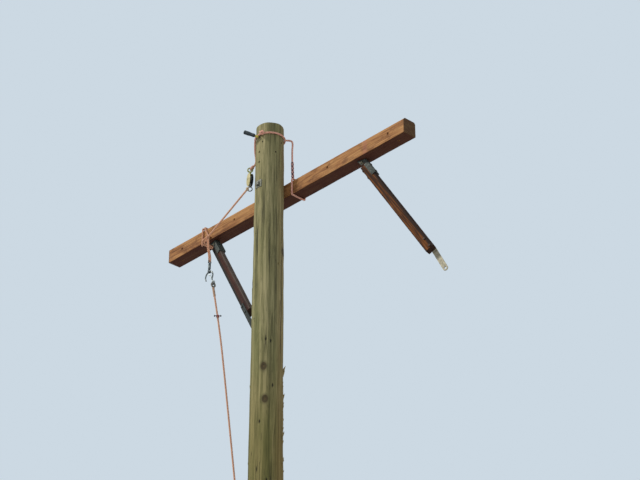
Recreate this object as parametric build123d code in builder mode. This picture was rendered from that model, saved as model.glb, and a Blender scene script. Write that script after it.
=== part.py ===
from build123d import *
import os
from math import cos, radians, sin, tan

# Wooden utility pole with its crossarm, two loose braces and the rigging at its top.
# Millimetres and degrees. The origin is the middle of the pole at ground level, +Z up,
# the crossarm runs along X and lies on the pole's +Y side.

# Pole
POLE_HEIGHT = 8839
POLE_TOP_D = 195
POLE_BASE_D = 300
POLE_TOP_CHAMFER = 6
SPARE_HOLE_D = 17.5
SPARE_HOLE_DROPS = (233, 316)
SIDE_HOLE_DROP = 1132
GAIN_DEPTH = 3

# Crossarm
ARM_LENGTH = 2438
ARM_WIDTH = 108
ARM_HEIGHT = 114
ARM_DROP = 496
ARM_CHAMFER = 10
ARM_HOLE_D = 17.5
PIN_HOLE_TO_END = 101
OUTER_HOLE_TO_END = 152
INNER_HOLE_TO_CENTRE = 483

# Through bolt of the crossarm
BOLT_D = 16
BOLT_HOLE_D = 17.5
BOLT_HEAD = 24
BOLT_HEAD_H = 11
BOLT_TAIL = 38
WASHER = 57
WASHER_T = 5
SEAT_GAP = 0.3

# Braces
BRACE_FOOT_TO_CENTRE = 114.96
BRACE_BOLT_D = 12.7
BRACE_BOLT_HOLE_D = 14.3
BRACE_BOLT_HEAD_D = 32
BRACE_BOLT_HEAD_H = 7
BRACE_BOLT_TAIL = 10
BRACE_NUT = 20
BRACE_NUT_H = 10
BRACE_TIMBER_START = 60
BRACE_TIMBER_LENGTH = 925
BRACE_TIMBER_ACROSS = 44
BRACE_TIMBER_DEEP = 64
BRACE_TIMBER_CHAMFER = 8
STRAP_W = 36
STRAP_T = 6
STRAP_BACK = 22
STRAP_BEND_R = 12
STRAP_LAP = 115
FLANGE_DEEP = 36
FLANGE_T = 4
TANG_W = 36
TANG_LAP = 110
TANG_HOLE_D = 17.5
TANG_HOLE_REACH = 170
TANG_BEND_R = 40
RIVET_D = 9
RIVET_HEAD_D = 18
RIVET_HEAD_H = 5
RIVET_TO_END = 20
LEFT_BRACE_HEADING = -12
LEFT_BRACE_LEAN = 34.07
LEFT_TANG_SHIFT = -12
LEFT_TANG_BEND = 0
RIGHT_BRACE_HEADING = 14
RIGHT_BRACE_LEAN = 31.4
RIGHT_TANG_SHIFT = 10
RIGHT_TANG_BEND = 5

# Ropes of the sling and of the hand line
SLING_D = 13
LINE_D = 14
SPLICE_D = 22
KNOT_D = 38
SLING_DROP = 94
SLING_KNOT_HEADING = -72
RIG_HEADING = 46.7
ARM_LOOP_X = 135
CORNER_SLACK = 0.5
BLOCK_LEG_START_BEHIND = 10
BLOCK_LEG_POINTS = ((-107, 22, 166), (-97, 47, 222))
BLOCK_LEG_LOW = (-99, 41)
BLOCK_LEG_LOW_ABOVE = 153
ARM_LEG_POINTS = ((148, 0, 94), (163, -4, 117))
ARM_LEG_LAST_RUN = 96
SPLICE_HEAD = (160, -32)
SPLICE_HEAD_ABOVE_ARM = 192

# Bar that is tucked in under the sling beside its knot, measured along it from its foot
BAR_FOOT_HEADING = -86
BAR_FOOT_DROP = 117
BAR_FOOT_OUT = 4.9
BAR_D = 10
BAR_END = 51
BAR_SWING = 215
BAR_RISE = 28
FERRULE_D = 18
FERRULE_START = 9
FERRULE_LENGTH = 26
HANDLE_D = 30
HANDLE_START = 41
HANDLE_LENGTH = 88

# Block of the hand line, hung beside the pole
BLOCK_OUT = 36
BLOCK_DROP = 422
BLOCK_AXLE_HEADING = 251
CHEEK_W = 64
CHEEK_H = 104
CHEEK_T = 9
CHEEK_GAP = 21
SHEAVE_D = 54
SHEAVE_GROOVE_R = 7.5
SHEAVE_W = 18.6
BLOCK_PIN_D = 12
PIN_CLEARANCE = 0.4
CROWN_W = 24
CROWN_H = 16
EYE_TO_CENTRE = 82
EYE_R = 17
EYE_WIRE_D = 9
SHANK_D = 11
BECKET_TO_CENTRE = 74
BECKET_WIRE_D = 7
ROPE_EYE_R = 16
ROPE_EYE_LEAN = 40

# Hitch round the arm and what hangs from it, along X from the left brace's bolt;
# drops are measured below the pole's top
HITCH_TURN_ALONG = -41
HITCH_LOOP_ALONG = -62
HITCH_KNOT_ALONG = 14
HITCH_KNOT_DROP = 536
HITCH_TURN_START = (-19.2, 11.5, -4)
HITCH_TURN_FINISH = (-9.7, 11.5, 17)
TAIL_WAY = (-30, -18, -14)
TAIL_MIDDLE = (-48, -14, -36)
TAIL_END = (-52, -9, -60)
PENDANT_FOOT_DROP = 745
PENDANT_ALONG = 29
PENDANT_D = 12
PENDANT_SLACK = 1.6
PENDANT_STRAND_X = 8
PENDANT_BEND = 0.9
SWIVEL_BARREL_INSET = 1.5
SWIVEL_EYE_R = 12
SWIVEL_EYE_WIRE_D = 8
SWIVEL_BARREL_D = 20
HOOK_R = 40
HOOK_WIRE_D = 10
HOOK_DROP = 866
HOOK_START = -45
HOOK_SWEEP = 262
HOOK_EYE_ALONG = 78
HOOK_EYE_DROP = 935
HOOK_EYE_R = 13
HOOK_EYE_WIRE_D = 8
LATCH_D = 6
LATCH_ANGLE = -39
LATCH_TIP = (-8, 24)
BECKET_KNOT_D = 30
LINE_SPLICE_D = 20
LINE_SPLICE_LENGTH = 78
TIE_D = 5
TIE_LENGTH = 50
TIE_DROP = 1228
FALL_POINTS = ((95, 1046), (145, 1262), (217, 1640), (378, 2650))
FALL_KNOT_D = 36

os.makedirs("parts", exist_ok=True)

arm_z = POLE_HEIGHT - ARM_DROP
arm_top = arm_z + ARM_HEIGHT / 2
arm_bottom = arm_z - ARM_HEIGHT / 2


def pole_radius(drop):
    """Radius of the pole at a distance below its top."""
    return POLE_TOP_D / 2 + (POLE_BASE_D - POLE_TOP_D) / 2 * drop / POLE_HEIGHT


arm_front = pole_radius(ARM_DROP) - GAIN_DEPTH
arm_back = arm_front + ARM_WIDTH
arm_y = arm_front + ARM_WIDTH / 2
brace_reach = BRACE_TIMBER_START + BRACE_TIMBER_LENGTH + TANG_HOLE_REACH
brace_bolt_x = BRACE_FOOT_TO_CENTRE + brace_reach * sin(radians(LEFT_BRACE_LEAN))


def save(piece, name):
    """Label a finished piece and write its STEP file."""
    piece.part.label = name
    export_step(piece.part, f"parts/{name}.step")


def around(radius, heading, drop):
    """Point at a radius from the pole's axis, a heading from +X and a drop below the top."""
    angle = radians(heading)
    return Vector(radius * cos(angle), radius * sin(angle), POLE_HEIGHT - drop)


def corner_radii(points):
    """Fillet of each corner of a route: 0.45 of its shorter run over the tangent of half the turn."""
    radii = []
    for before, corner, after in zip(points, points[1:], points[2:]):
        run_in = corner - before
        run_out = after - corner
        turn = radians(run_in.get_angle(run_out))
        radii.append(0.45 * min(run_in.length, run_out.length) / tan(turn / 2))
    return radii


def rope_tube(points, diameter, radii=None):
    """Round tube along straight runs joined by tangent arcs."""
    points = [Vector(*point) for point in points]
    with BuildPart() as tube:
        with BuildLine() as route:
            if len(points) == 2:
                Line(*points)
            else:
                FilletPolyline(*points, radius=radii or corner_radii(points))
        with BuildSketch(Plane(origin=route.line @ 0, z_dir=route.line % 0)):
            Circle(diameter / 2)
        sweep()
    return tube.part


def square_loop(centre, wide, high, diameter, radius):
    """Closed rope turn round a square section that runs along X, bent tight round its corners."""
    x, y, z = centre
    corners = [
        Vector(x, y - wide / 2, z - high / 2),
        Vector(x, y + wide / 2, z - high / 2),
        Vector(x, y + wide / 2, z + high / 2),
        Vector(x, y - wide / 2, z + high / 2),
    ]
    with BuildPart() as loop:
        with BuildLine() as route:
            FilletPolyline(*corners, radius=radius, close=True)
        with BuildSketch(Plane(origin=route.line @ 0, z_dir=route.line % 0)):
            Circle(diameter / 2)
        sweep()
    return loop.part


# Pole: a tapered round timber with a flat gain for the crossarm and its drilled holes
with BuildPart() as pole_shaft:
    Cone(POLE_BASE_D / 2, POLE_TOP_D / 2, POLE_HEIGHT, align=(Align.CENTER, Align.CENTER, Align.MIN))
    chamfer(pole_shaft.edges().group_by(Axis.Z)[-1], POLE_TOP_CHAMFER)
    with Locations((0, arm_front, arm_z)):
        Box(POLE_TOP_D, POLE_TOP_D, ARM_HEIGHT + 2 * GAIN_DEPTH,
            align=(Align.CENTER, Align.MIN, Align.CENTER), mode=Mode.SUBTRACT)
    with BuildSketch(Plane.XZ):
        with Locations((0, arm_z)):
            Circle(BOLT_HOLE_D / 2)
        with Locations(*[(0, POLE_HEIGHT - drop) for drop in SPARE_HOLE_DROPS]):
            Circle(SPARE_HOLE_D / 2)
    extrude(amount=POLE_BASE_D, both=True, mode=Mode.SUBTRACT)
    with BuildSketch(Plane.YZ):
        with Locations((0, POLE_HEIGHT - SIDE_HOLE_DROP)):
            Circle(SPARE_HOLE_D / 2)
    extrude(amount=POLE_BASE_D, both=True, mode=Mode.SUBTRACT)
save(pole_shaft, "pole_shaft")

# Crossarm: square-sawn, its two top edges chamfered, drilled for pins, bolts and braces
pin_hole_x = ARM_LENGTH / 2 - PIN_HOLE_TO_END
outer_hole_x = ARM_LENGTH / 2 - OUTER_HOLE_TO_END
with BuildPart() as crossarm:
    with Locations((0, arm_y, arm_z)):
        Box(ARM_LENGTH, ARM_WIDTH, ARM_HEIGHT)
    chamfer(crossarm.edges().filter_by(Axis.X).group_by(Axis.Z)[-1], ARM_CHAMFER)
    with BuildSketch(Plane.XZ):
        with Locations(*[(x, arm_z) for x in (-outer_hole_x, -INNER_HOLE_TO_CENTRE,
                                              INNER_HOLE_TO_CENTRE, outer_hole_x)]):
            Circle(ARM_HOLE_D / 2)
        with Locations((0, arm_z)):
            Circle(BOLT_HOLE_D / 2)
    extrude(amount=-arm_back - ARM_WIDTH, mode=Mode.SUBTRACT)
    with BuildSketch(Plane.XY.offset(arm_bottom - 1)):
        with Locations((-pin_hole_x, arm_y), (pin_hole_x, arm_y)):
            Circle(ARM_HOLE_D / 2)
        with Locations((-brace_bolt_x, arm_y), (brace_bolt_x, arm_y)):
            Circle(BRACE_BOLT_HOLE_D / 2)
    extrude(amount=ARM_HEIGHT + 2, mode=Mode.SUBTRACT)
save(crossarm, "crossarm")

# Through bolt with a curved square washer on the pole and a flat one on the arm
pole_washer_face = -pole_radius(ARM_DROP) - SEAT_GAP - WASHER_T
bolt_head_seat = pole_washer_face - SEAT_GAP
arm_washer_seat = arm_back + SEAT_GAP
bolt_nut_seat = arm_washer_seat + WASHER_T + SEAT_GAP
bolt_end = bolt_nut_seat + BOLT_HEAD_H + BOLT_TAIL

with BuildPart() as pole_side_washer:
    with BuildSketch(Plane.XZ):
        with Locations((0, arm_z)):
            Rectangle(WASHER, WASHER)
            Circle(BOLT_HOLE_D / 2, mode=Mode.SUBTRACT)
    extrude(amount=POLE_TOP_D)
    with BuildSketch(Plane.XY.offset(arm_z - WASHER)):
        Circle(pole_radius(ARM_DROP) + SEAT_GAP + WASHER_T)
        Circle(pole_radius(ARM_DROP + WASHER / 2) + SEAT_GAP, mode=Mode.SUBTRACT)
    extrude(amount=2 * WASHER, mode=Mode.INTERSECT)
save(pole_side_washer, "pole_side_washer")

with BuildPart() as arm_side_washer:
    with BuildSketch(Plane.XZ.offset(-arm_washer_seat)):
        with Locations((0, arm_z)):
            Rectangle(WASHER, WASHER)
            Circle(BOLT_HOLE_D / 2, mode=Mode.SUBTRACT)
    extrude(amount=-WASHER_T)
save(arm_side_washer, "arm_side_washer")

with BuildPart() as arm_bolt:
    with BuildSketch(Plane.XZ.offset(-bolt_head_seat)):
        with Locations((0, arm_z)):
            RectangleRounded(BOLT_HEAD, BOLT_HEAD, 1.5)
    extrude(amount=BOLT_HEAD_H)
    with BuildSketch(Plane.XZ.offset(-bolt_head_seat)):
        with Locations((0, arm_z)):
            Circle(BOLT_D / 2)
    extrude(amount=bolt_head_seat - bolt_end)
save(arm_bolt, "arm_bolt")

with BuildPart() as arm_bolt_nut:
    with BuildSketch(Plane.XZ.offset(-bolt_nut_seat)):
        with Locations((0, arm_z)):
            Rectangle(BOLT_HEAD, BOLT_HEAD)
            Circle(BOLT_D / 2 + SEAT_GAP, mode=Mode.SUBTRACT)
    extrude(amount=-BOLT_HEAD_H)
    chamfer(arm_bolt_nut.faces().sort_by(Axis.Y)[-1].outer_wire().edges(), 1.5)
save(arm_bolt_nut, "arm_bolt_nut")


def rivet_row(plane, spots, front, back):
    """Rivets through a plane at the given spots, their round heads seated in front of it and behind it."""
    with BuildPart() as row:
        with BuildSketch(plane.offset(-back)):
            with Locations(*spots):
                Circle(RIVET_D / 2)
        extrude(amount=front + back)
        with BuildSketch(plane.offset(front)):
            with Locations(*spots):
                Circle(RIVET_HEAD_D / 2)
        extrude(amount=RIVET_HEAD_H)
        with BuildSketch(plane.offset(-back)):
            with Locations(*spots):
                Circle(RIVET_HEAD_D / 2)
        extrude(amount=-RIVET_HEAD_H)
    return row.part


def make_brace(side, bolt_x, heading, lean_angle, tang_side, tang_shift, tang_bend):
    """Bolt, nut and the swinging pieces of one brace: strap, timber, tang and rivets.

    The strap lies flat under the arm, bends down to the timber's outer face and clasps the
    timber's head with two flanges. The tang is riveted to one side of the timber's foot.
    """
    lean = radians(lean_angle)
    turn = radians(heading)
    ahead = Vector(cos(turn), sin(turn), 0)
    across = Vector(-sin(turn), cos(turn), 0)
    down = ahead * sin(lean) + Vector(0, 0, -cos(lean))
    top = Vector(bolt_x, arm_y, arm_bottom)
    upright = Plane(origin=top, x_dir=ahead, z_dir=-across)
    timber_axis = Plane(origin=top, x_dir=across, z_dir=down)
    outer_face = Plane(origin=top, x_dir=-across, z_dir=timber_axis.y_dir)
    side_face = Plane(origin=top, x_dir=timber_axis.y_dir, z_dir=across)
    face_offset = BRACE_TIMBER_DEEP / 2 + SEAT_GAP
    side_offset = BRACE_TIMBER_ACROSS / 2 + SEAT_GAP
    strap_level = SEAT_GAP + STRAP_T / 2
    bend_x = (face_offset + STRAP_T / 2 + strap_level * sin(lean)) / cos(lean)
    bend_reach = bend_x * sin(lean) + strap_level * cos(lean)
    leg = BRACE_TIMBER_START + STRAP_LAP - bend_reach
    timber_end = BRACE_TIMBER_START + BRACE_TIMBER_LENGTH
    lap_middle = BRACE_TIMBER_START + STRAP_LAP / 2
    strap_spots = [
        (0, BRACE_TIMBER_START + RIVET_TO_END),
        (0, BRACE_TIMBER_START + STRAP_LAP - RIVET_TO_END),
    ]
    tang_spots = [
        (tang_shift, timber_end - TANG_LAP + RIVET_TO_END),
        (tang_shift, timber_end - RIVET_TO_END),
    ]
    rivet_hole_r = RIVET_D / 2 + SEAT_GAP / 2

    with BuildPart() as bolt:
        with BuildSketch(Plane.XY.offset(arm_top + SEAT_GAP)):
            with Locations((bolt_x, arm_y)):
                Circle(BRACE_BOLT_HEAD_D / 2)
        extrude(amount=BRACE_BOLT_HEAD_H)
        fillet(bolt.faces().sort_by(Axis.Z)[-1].edges(), BRACE_BOLT_HEAD_H * 0.6)
        with BuildSketch(Plane.XY.offset(arm_top + SEAT_GAP)):
            with Locations((bolt_x, arm_y)):
                Circle(BRACE_BOLT_D / 2)
        extrude(amount=-(ARM_HEIGHT + 3 * SEAT_GAP + STRAP_T + BRACE_NUT_H + BRACE_BOLT_TAIL))
    save(bolt, f"{side}_brace_bolt")

    with BuildPart() as nut:
        with BuildSketch(Plane.XY.offset(arm_bottom - 2 * SEAT_GAP - STRAP_T)):
            with Locations((bolt_x, arm_y)):
                Rectangle(BRACE_NUT, BRACE_NUT)
                Circle(BRACE_BOLT_D / 2 + SEAT_GAP, mode=Mode.SUBTRACT)
        extrude(amount=-BRACE_NUT_H)
    save(nut, f"{side}_brace_nut")

    with BuildPart() as strap:
        with BuildSketch(upright):
            with BuildLine():
                FilletPolyline(
                    (-STRAP_BACK, -strap_level),
                    (bend_x, -strap_level),
                    (bend_x + leg * sin(lean), -strap_level - leg * cos(lean)),
                    radius=STRAP_BEND_R,
                )
            trace(line_width=STRAP_T)
        extrude(amount=STRAP_W / 2, both=True)
        with BuildSketch(outer_face.offset(face_offset)):
            with Locations((0, lap_middle)):
                Rectangle(2 * (side_offset + FLANGE_T), STRAP_LAP)
        extrude(amount=STRAP_T)
        for way in (-1, 1):
            with BuildSketch(side_face.offset(way * side_offset)):
                with Locations((face_offset + STRAP_T - FLANGE_DEEP / 2, lap_middle)):
                    Rectangle(FLANGE_DEEP, STRAP_LAP)
            extrude(amount=way * FLANGE_T)
        with BuildSketch(Plane(origin=top, x_dir=ahead, z_dir=(0, 0, 1))):
            Circle(BRACE_BOLT_HOLE_D / 2)
        extrude(amount=-2 * STRAP_T, mode=Mode.SUBTRACT)
        with BuildSketch(outer_face):
            with Locations(*strap_spots):
                Circle(rivet_hole_r)
        extrude(amount=2 * BRACE_TIMBER_DEEP, mode=Mode.SUBTRACT)
    save(strap, f"{side}_brace_strap")

    with BuildPart() as timber:
        with BuildSketch(timber_axis.offset(BRACE_TIMBER_START)) as section:
            Rectangle(BRACE_TIMBER_ACROSS, BRACE_TIMBER_DEEP)
            chamfer(section.vertices().group_by(Axis.Y)[-1], BRACE_TIMBER_CHAMFER)
        extrude(amount=BRACE_TIMBER_LENGTH)
        with BuildSketch(outer_face):
            with Locations(*strap_spots):
                Circle(rivet_hole_r)
        extrude(amount=BRACE_TIMBER_DEEP, both=True, mode=Mode.SUBTRACT)
        with BuildSketch(side_face):
            with Locations(*tang_spots):
                Circle(rivet_hole_r)
        extrude(amount=BRACE_TIMBER_DEEP, both=True, mode=Mode.SUBTRACT)
    save(timber, f"{side}_brace_timber")

    hole_spot = (
        tang_shift - TANG_HOLE_REACH * sin(radians(tang_bend)),
        timber_end + TANG_HOLE_REACH * cos(radians(tang_bend)),
    )
    with BuildPart() as tang:
        with BuildSketch(side_face.offset(tang_side * side_offset)):
            with BuildLine():
                if tang_bend:
                    FilletPolyline((tang_shift, timber_end - TANG_LAP), (tang_shift, timber_end), hole_spot,
                                   radius=TANG_BEND_R)
                else:
                    Line((tang_shift, timber_end - TANG_LAP), hole_spot)
            trace(line_width=TANG_W)
            with Locations(hole_spot):
                Circle(TANG_W / 2)
                Circle(TANG_HOLE_D / 2, mode=Mode.SUBTRACT)
            with Locations(*tang_spots):
                Circle(rivet_hole_r, mode=Mode.SUBTRACT)
        extrude(amount=tang_side * STRAP_T)
    save(tang, f"{side}_brace_tang")

    tang_seats = (side_offset + STRAP_T + SEAT_GAP, side_offset)
    with BuildPart() as rivets:
        add(rivet_row(outer_face, strap_spots, face_offset + STRAP_T + SEAT_GAP, face_offset))
        add(rivet_row(side_face, tang_spots, *(tang_seats if tang_side > 0 else tang_seats[::-1])))
    save(rivets, f"{side}_brace_rivets")


make_brace("left", -brace_bolt_x, LEFT_BRACE_HEADING, LEFT_BRACE_LEAN,
           -1, LEFT_TANG_SHIFT, LEFT_TANG_BEND)
make_brace("right", brace_bolt_x, RIGHT_BRACE_HEADING, RIGHT_BRACE_LEAN,
           1, RIGHT_TANG_SHIFT, RIGHT_TANG_BEND)


def beside(side, behind, drop):
    """Point in the rigging's own directions: to one side of the pole's axis, behind it, below the top."""
    angle = radians(RIG_HEADING)
    return Vector(
        side * cos(angle) - behind * sin(angle),
        side * sin(angle) + behind * cos(angle),
        POLE_HEIGHT - drop,
    )


def on_face(along, out, drop):
    """Point beside the left brace's bolt along X, at a distance out from the arm's front face."""
    return Vector(along - brace_bolt_x, arm_front - out, POLE_HEIGHT - drop)


def knot(centre, diameter):
    """Rounded knot; ropes end just outside it."""
    with BuildPart() as ball:
        with Locations(centre):
            Sphere(diameter / 2)
    return ball.part


def eye(centre, normal, radius, wire_d):
    """Round eye of bent wire or rope."""
    with BuildPart(Plane(origin=centre, z_dir=normal)) as ring:
        Torus(radius, wire_d / 2)
    return ring.part


def rod(start, end, diameter):
    """Straight round rod between two points."""
    with BuildPart() as bar:
        with BuildSketch(Plane(origin=start, z_dir=end - start)):
            Circle(diameter / 2)
        extrude(amount=(end - start).length)
    return bar.part


# Sling round the pole's top with its knot
sling_radius = pole_radius(SLING_DROP) + SEAT_GAP + SLING_D / 2
knot_centre = around(pole_radius(SLING_DROP) + SEAT_GAP + KNOT_D / 2, SLING_KNOT_HEADING, SLING_DROP)
sling_height = Vector(0, 0, POLE_HEIGHT - SLING_DROP)
bar_way = Vector(
    cos(radians(BAR_SWING)) * cos(radians(BAR_RISE)),
    sin(radians(BAR_SWING)) * cos(radians(BAR_RISE)),
    sin(radians(BAR_RISE)),
)

with BuildPart() as sling_ring:
    add(eye(sling_height, (0, 0, 1), sling_radius, SLING_D))
save(sling_ring, "sling_ring")

with BuildPart() as sling_knot:
    add(knot(knot_centre, KNOT_D))
    add(eye(sling_height, (0, 0, 1), sling_radius, SLING_D + 2 * SEAT_GAP), mode=Mode.SUBTRACT)
save(sling_knot, "sling_knot")

# Bar with its ferrule and handle
bar_foot = around(pole_radius(BAR_FOOT_DROP) + BAR_FOOT_OUT, BAR_FOOT_HEADING, BAR_FOOT_DROP)
with BuildPart() as bar_shank:
    add(rod(bar_foot, bar_foot + bar_way * BAR_END, BAR_D))
save(bar_shank, "bar_shank")

with BuildPart() as bar_ferrule:
    with BuildSketch(Plane(origin=bar_foot + bar_way * FERRULE_START, z_dir=bar_way)):
        Circle(FERRULE_D / 2)
        Circle(BAR_D / 2 + SEAT_GAP, mode=Mode.SUBTRACT)
    extrude(amount=FERRULE_LENGTH)
save(bar_ferrule, "bar_ferrule")

with BuildPart() as bar_handle:
    with BuildSketch(Plane(origin=bar_foot + bar_way * HANDLE_START, z_dir=bar_way)):
        Circle(HANDLE_D / 2)
    extrude(amount=HANDLE_LENGTH)
    fillet(bar_handle.edges(), HANDLE_D / 5)
    with BuildSketch(Plane(origin=bar_foot + bar_way * (HANDLE_START - 1), z_dir=bar_way)):
        Circle(BAR_D / 2 + SEAT_GAP)
    extrude(amount=BAR_END - HANDLE_START + 1 + SEAT_GAP, mode=Mode.SUBTRACT)
save(bar_handle, "bar_handle")

# Block of the hand line: two cheeks, a sheave on its pin, an eye above and a becket below
block_side = -pole_radius(BLOCK_DROP) - BLOCK_OUT
block_centre = beside(block_side, 0, BLOCK_DROP)
axle_angle = radians(BLOCK_AXLE_HEADING)
axle = Vector(cos(axle_angle), sin(axle_angle), 0)
block_plane = Plane(origin=block_centre, x_dir=(-sin(axle_angle), cos(axle_angle), 0), z_dir=axle)
rig_behind = beside(0, 1, 0) - beside(0, 0, 0)
rig_side = beside(1, 0, 0) - beside(0, 0, 0)
up = Vector(0, 0, 1)


def cheek(direction):
    """One cheek of the block, domed on its outer face."""
    with BuildPart() as plate:
        with BuildSketch(block_plane.offset(direction * CHEEK_GAP / 2)):
            Ellipse(CHEEK_W / 2, CHEEK_H / 2)
            Circle(BLOCK_PIN_D / 2 + SEAT_GAP / 2, mode=Mode.SUBTRACT)
        extrude(amount=direction * CHEEK_T)
    return plate.part


def crown(direction):
    """Spacer between the cheeks, above or below the sheave."""
    with BuildPart() as spacer:
        with BuildSketch(block_plane.offset(-CHEEK_GAP / 2 + SEAT_GAP)):
            with Locations((0, direction * (CHEEK_H - CROWN_H) / 2)):
                Rectangle(CROWN_W, CROWN_H)
        extrude(amount=CHEEK_GAP - 2 * SEAT_GAP)
    return spacer.part


with BuildPart() as block_outer_cheek:
    add(cheek(1))
save(block_outer_cheek, "block_outer_cheek")

with BuildPart() as block_inner_cheek:
    add(cheek(-1))
save(block_inner_cheek, "block_inner_cheek")

with BuildPart() as block_pin:
    with BuildSketch(block_plane.offset(-CHEEK_GAP / 2 - CHEEK_T)):
        Circle(BLOCK_PIN_D / 2)
    extrude(amount=CHEEK_GAP + 2 * CHEEK_T)
save(block_pin, "block_pin")

with BuildPart() as block_sheave:
    with BuildSketch(block_plane.offset(-SHEAVE_W / 2)):
        Circle(SHEAVE_D / 2)
        Circle(BLOCK_PIN_D / 2 + PIN_CLEARANCE, mode=Mode.SUBTRACT)
    extrude(amount=SHEAVE_W)
    with BuildPart(block_plane, mode=Mode.PRIVATE) as groove:
        Torus(SHEAVE_D / 2, SHEAVE_GROOVE_R)
    add(groove.part, mode=Mode.SUBTRACT)
save(block_sheave, "block_sheave")

eye_centre = block_centre + up * EYE_TO_CENTRE
with BuildPart() as block_hook:
    add(crown(1))
    add(rod(block_centre + up * (CHEEK_H / 2 - CROWN_H), eye_centre - up * EYE_R, SHANK_D))
    add(eye(eye_centre, rig_behind, EYE_R, EYE_WIRE_D))
save(block_hook, "block_hook")

becket_centre = block_centre - up * BECKET_TO_CENTRE
with BuildPart() as block_becket:
    add(crown(-1))
    add(rod(block_centre - up * (CHEEK_H / 2 - CROWN_H), becket_centre + up * EYE_R, SHANK_D))
    add(eye(becket_centre, rig_behind, EYE_R, BECKET_WIRE_D))
save(block_becket, "block_becket")

# Leg of the sling that holds the block: it hugs the pole and ends in a rope eye, leaning to the pole
lean_way = up * cos(radians(ROPE_EYE_LEAN)) + rig_side * sin(radians(ROPE_EYE_LEAN))
rope_eye_centre = eye_centre + lean_way * (EYE_R - EYE_WIRE_D / 2 + ROPE_EYE_R - SLING_D / 2 - SEAT_GAP)
leg_start_drop = SLING_DROP + SLING_D + SEAT_GAP
block_leg_route = [
    beside(-sling_radius, BLOCK_LEG_START_BEHIND, leg_start_drop),
    *[beside(*point) for point in BLOCK_LEG_POINTS],
    beside(*BLOCK_LEG_LOW, BLOCK_DROP - BLOCK_LEG_LOW_ABOVE),
    rope_eye_centre + lean_way * ROPE_EYE_R,
]
with BuildPart() as sling_block_leg:
    add(rope_tube(block_leg_route, SLING_D))
    add(eye(rope_eye_centre, rig_behind.cross(lean_way), ROPE_EYE_R, SLING_D))
save(sling_block_leg, "sling_block_leg")

# Leg of the sling that goes over to the arm, with its splice and the loop round the arm
loop_reach = SEAT_GAP + SLING_D / 2
loop_top_drop = ARM_DROP - ARM_HEIGHT / 2 - 2 * loop_reach
splice_foot = Vector(ARM_LOOP_X, arm_front, POLE_HEIGHT - loop_top_drop + SEAT_GAP)
splice_head = beside(*SPLICE_HEAD, ARM_DROP - SPLICE_HEAD_ABOVE_ARM)
splice_way = (splice_foot - splice_head).normalized()
arm_leg_route = [
    beside(sling_radius + SLING_D / 2 + SEAT_GAP, 0, SLING_DROP),
    *[beside(*point) for point in ARM_LEG_POINTS],
    splice_head - splice_way * ARM_LEG_LAST_RUN,
    splice_head,
]
with BuildPart() as sling_arm_leg:
    add(rope_tube(arm_leg_route, SLING_D))
save(sling_arm_leg, "sling_arm_leg")

with BuildPart() as sling_splice:
    add(rod(splice_head, splice_foot, SPLICE_D))
save(sling_splice, "sling_splice")

with BuildPart() as sling_arm_loop:
    add(square_loop((ARM_LOOP_X, arm_y, arm_z), ARM_WIDTH + 2 * loop_reach,
                    ARM_HEIGHT + 2 * loop_reach, SLING_D, loop_reach + CORNER_SLACK))
save(sling_arm_loop, "sling_arm_loop")

# Hand line: knotted to the becket, it runs to the knot of the hitch on the arm's front face
hitch_reach = SEAT_GAP + LINE_D / 2
hitch_knot_centre = on_face(HITCH_KNOT_ALONG, SEAT_GAP + KNOT_D / 2, HITCH_KNOT_DROP)
becket_knot_centre = becket_centre - rig_side * EYE_R
span_way = (hitch_knot_centre - becket_knot_centre).normalized()
span_start = becket_knot_centre + span_way * (BECKET_KNOT_D / 2 + SEAT_GAP)
span_end = hitch_knot_centre - span_way * (KNOT_D / 2 + SEAT_GAP)
with BuildPart() as hand_line_span:
    add(rod(span_start, span_end, LINE_D))
save(hand_line_span, "hand_line_span")

with BuildPart() as becket_knot:
    add(knot(becket_knot_centre, BECKET_KNOT_D))
    add(eye(becket_centre, rig_behind, EYE_R, BECKET_WIRE_D + 2 * SEAT_GAP), mode=Mode.SUBTRACT)
save(becket_knot, "becket_knot")

# Hitch round the arm: one turn out of the knot and back into it, and one closed turn beside it
arm_top_drop = ARM_DROP - ARM_HEIGHT / 2
arm_bottom_drop = ARM_DROP + ARM_HEIGHT / 2
hitch_turn_route = [
    hitch_knot_centre + Vector(*HITCH_TURN_START),
    on_face(HITCH_TURN_ALONG, hitch_reach, arm_bottom_drop + hitch_reach),
    on_face(HITCH_TURN_ALONG, -ARM_WIDTH - hitch_reach, arm_bottom_drop + hitch_reach),
    on_face(HITCH_TURN_ALONG, -ARM_WIDTH - hitch_reach, arm_top_drop - hitch_reach),
    on_face(HITCH_TURN_ALONG, hitch_reach, arm_top_drop - hitch_reach),
    hitch_knot_centre + Vector(*HITCH_TURN_FINISH),
]
hitch_turn_radii = [hitch_reach + CORNER_SLACK] * (len(hitch_turn_route) - 2)
with BuildPart() as arm_hitch:
    add(rope_tube(hitch_turn_route, LINE_D, hitch_turn_radii))
    add(square_loop((HITCH_LOOP_ALONG - brace_bolt_x, arm_y, arm_z), ARM_WIDTH + 2 * hitch_reach,
                    ARM_HEIGHT + 2 * hitch_reach, LINE_D, hitch_reach + CORNER_SLACK))
save(arm_hitch, "arm_hitch")

tail_way = Vector(*TAIL_WAY).normalized()
hitch_tail_route = [
    hitch_knot_centre + tail_way * (KNOT_D / 2 + SEAT_GAP),
    hitch_knot_centre + tail_way * KNOT_D,
    hitch_knot_centre + Vector(*TAIL_MIDDLE),
    hitch_knot_centre + Vector(*TAIL_END),
]
with BuildPart() as hitch_tail:
    add(rope_tube(hitch_tail_route, LINE_D))
save(hitch_tail, "hitch_tail")

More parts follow.
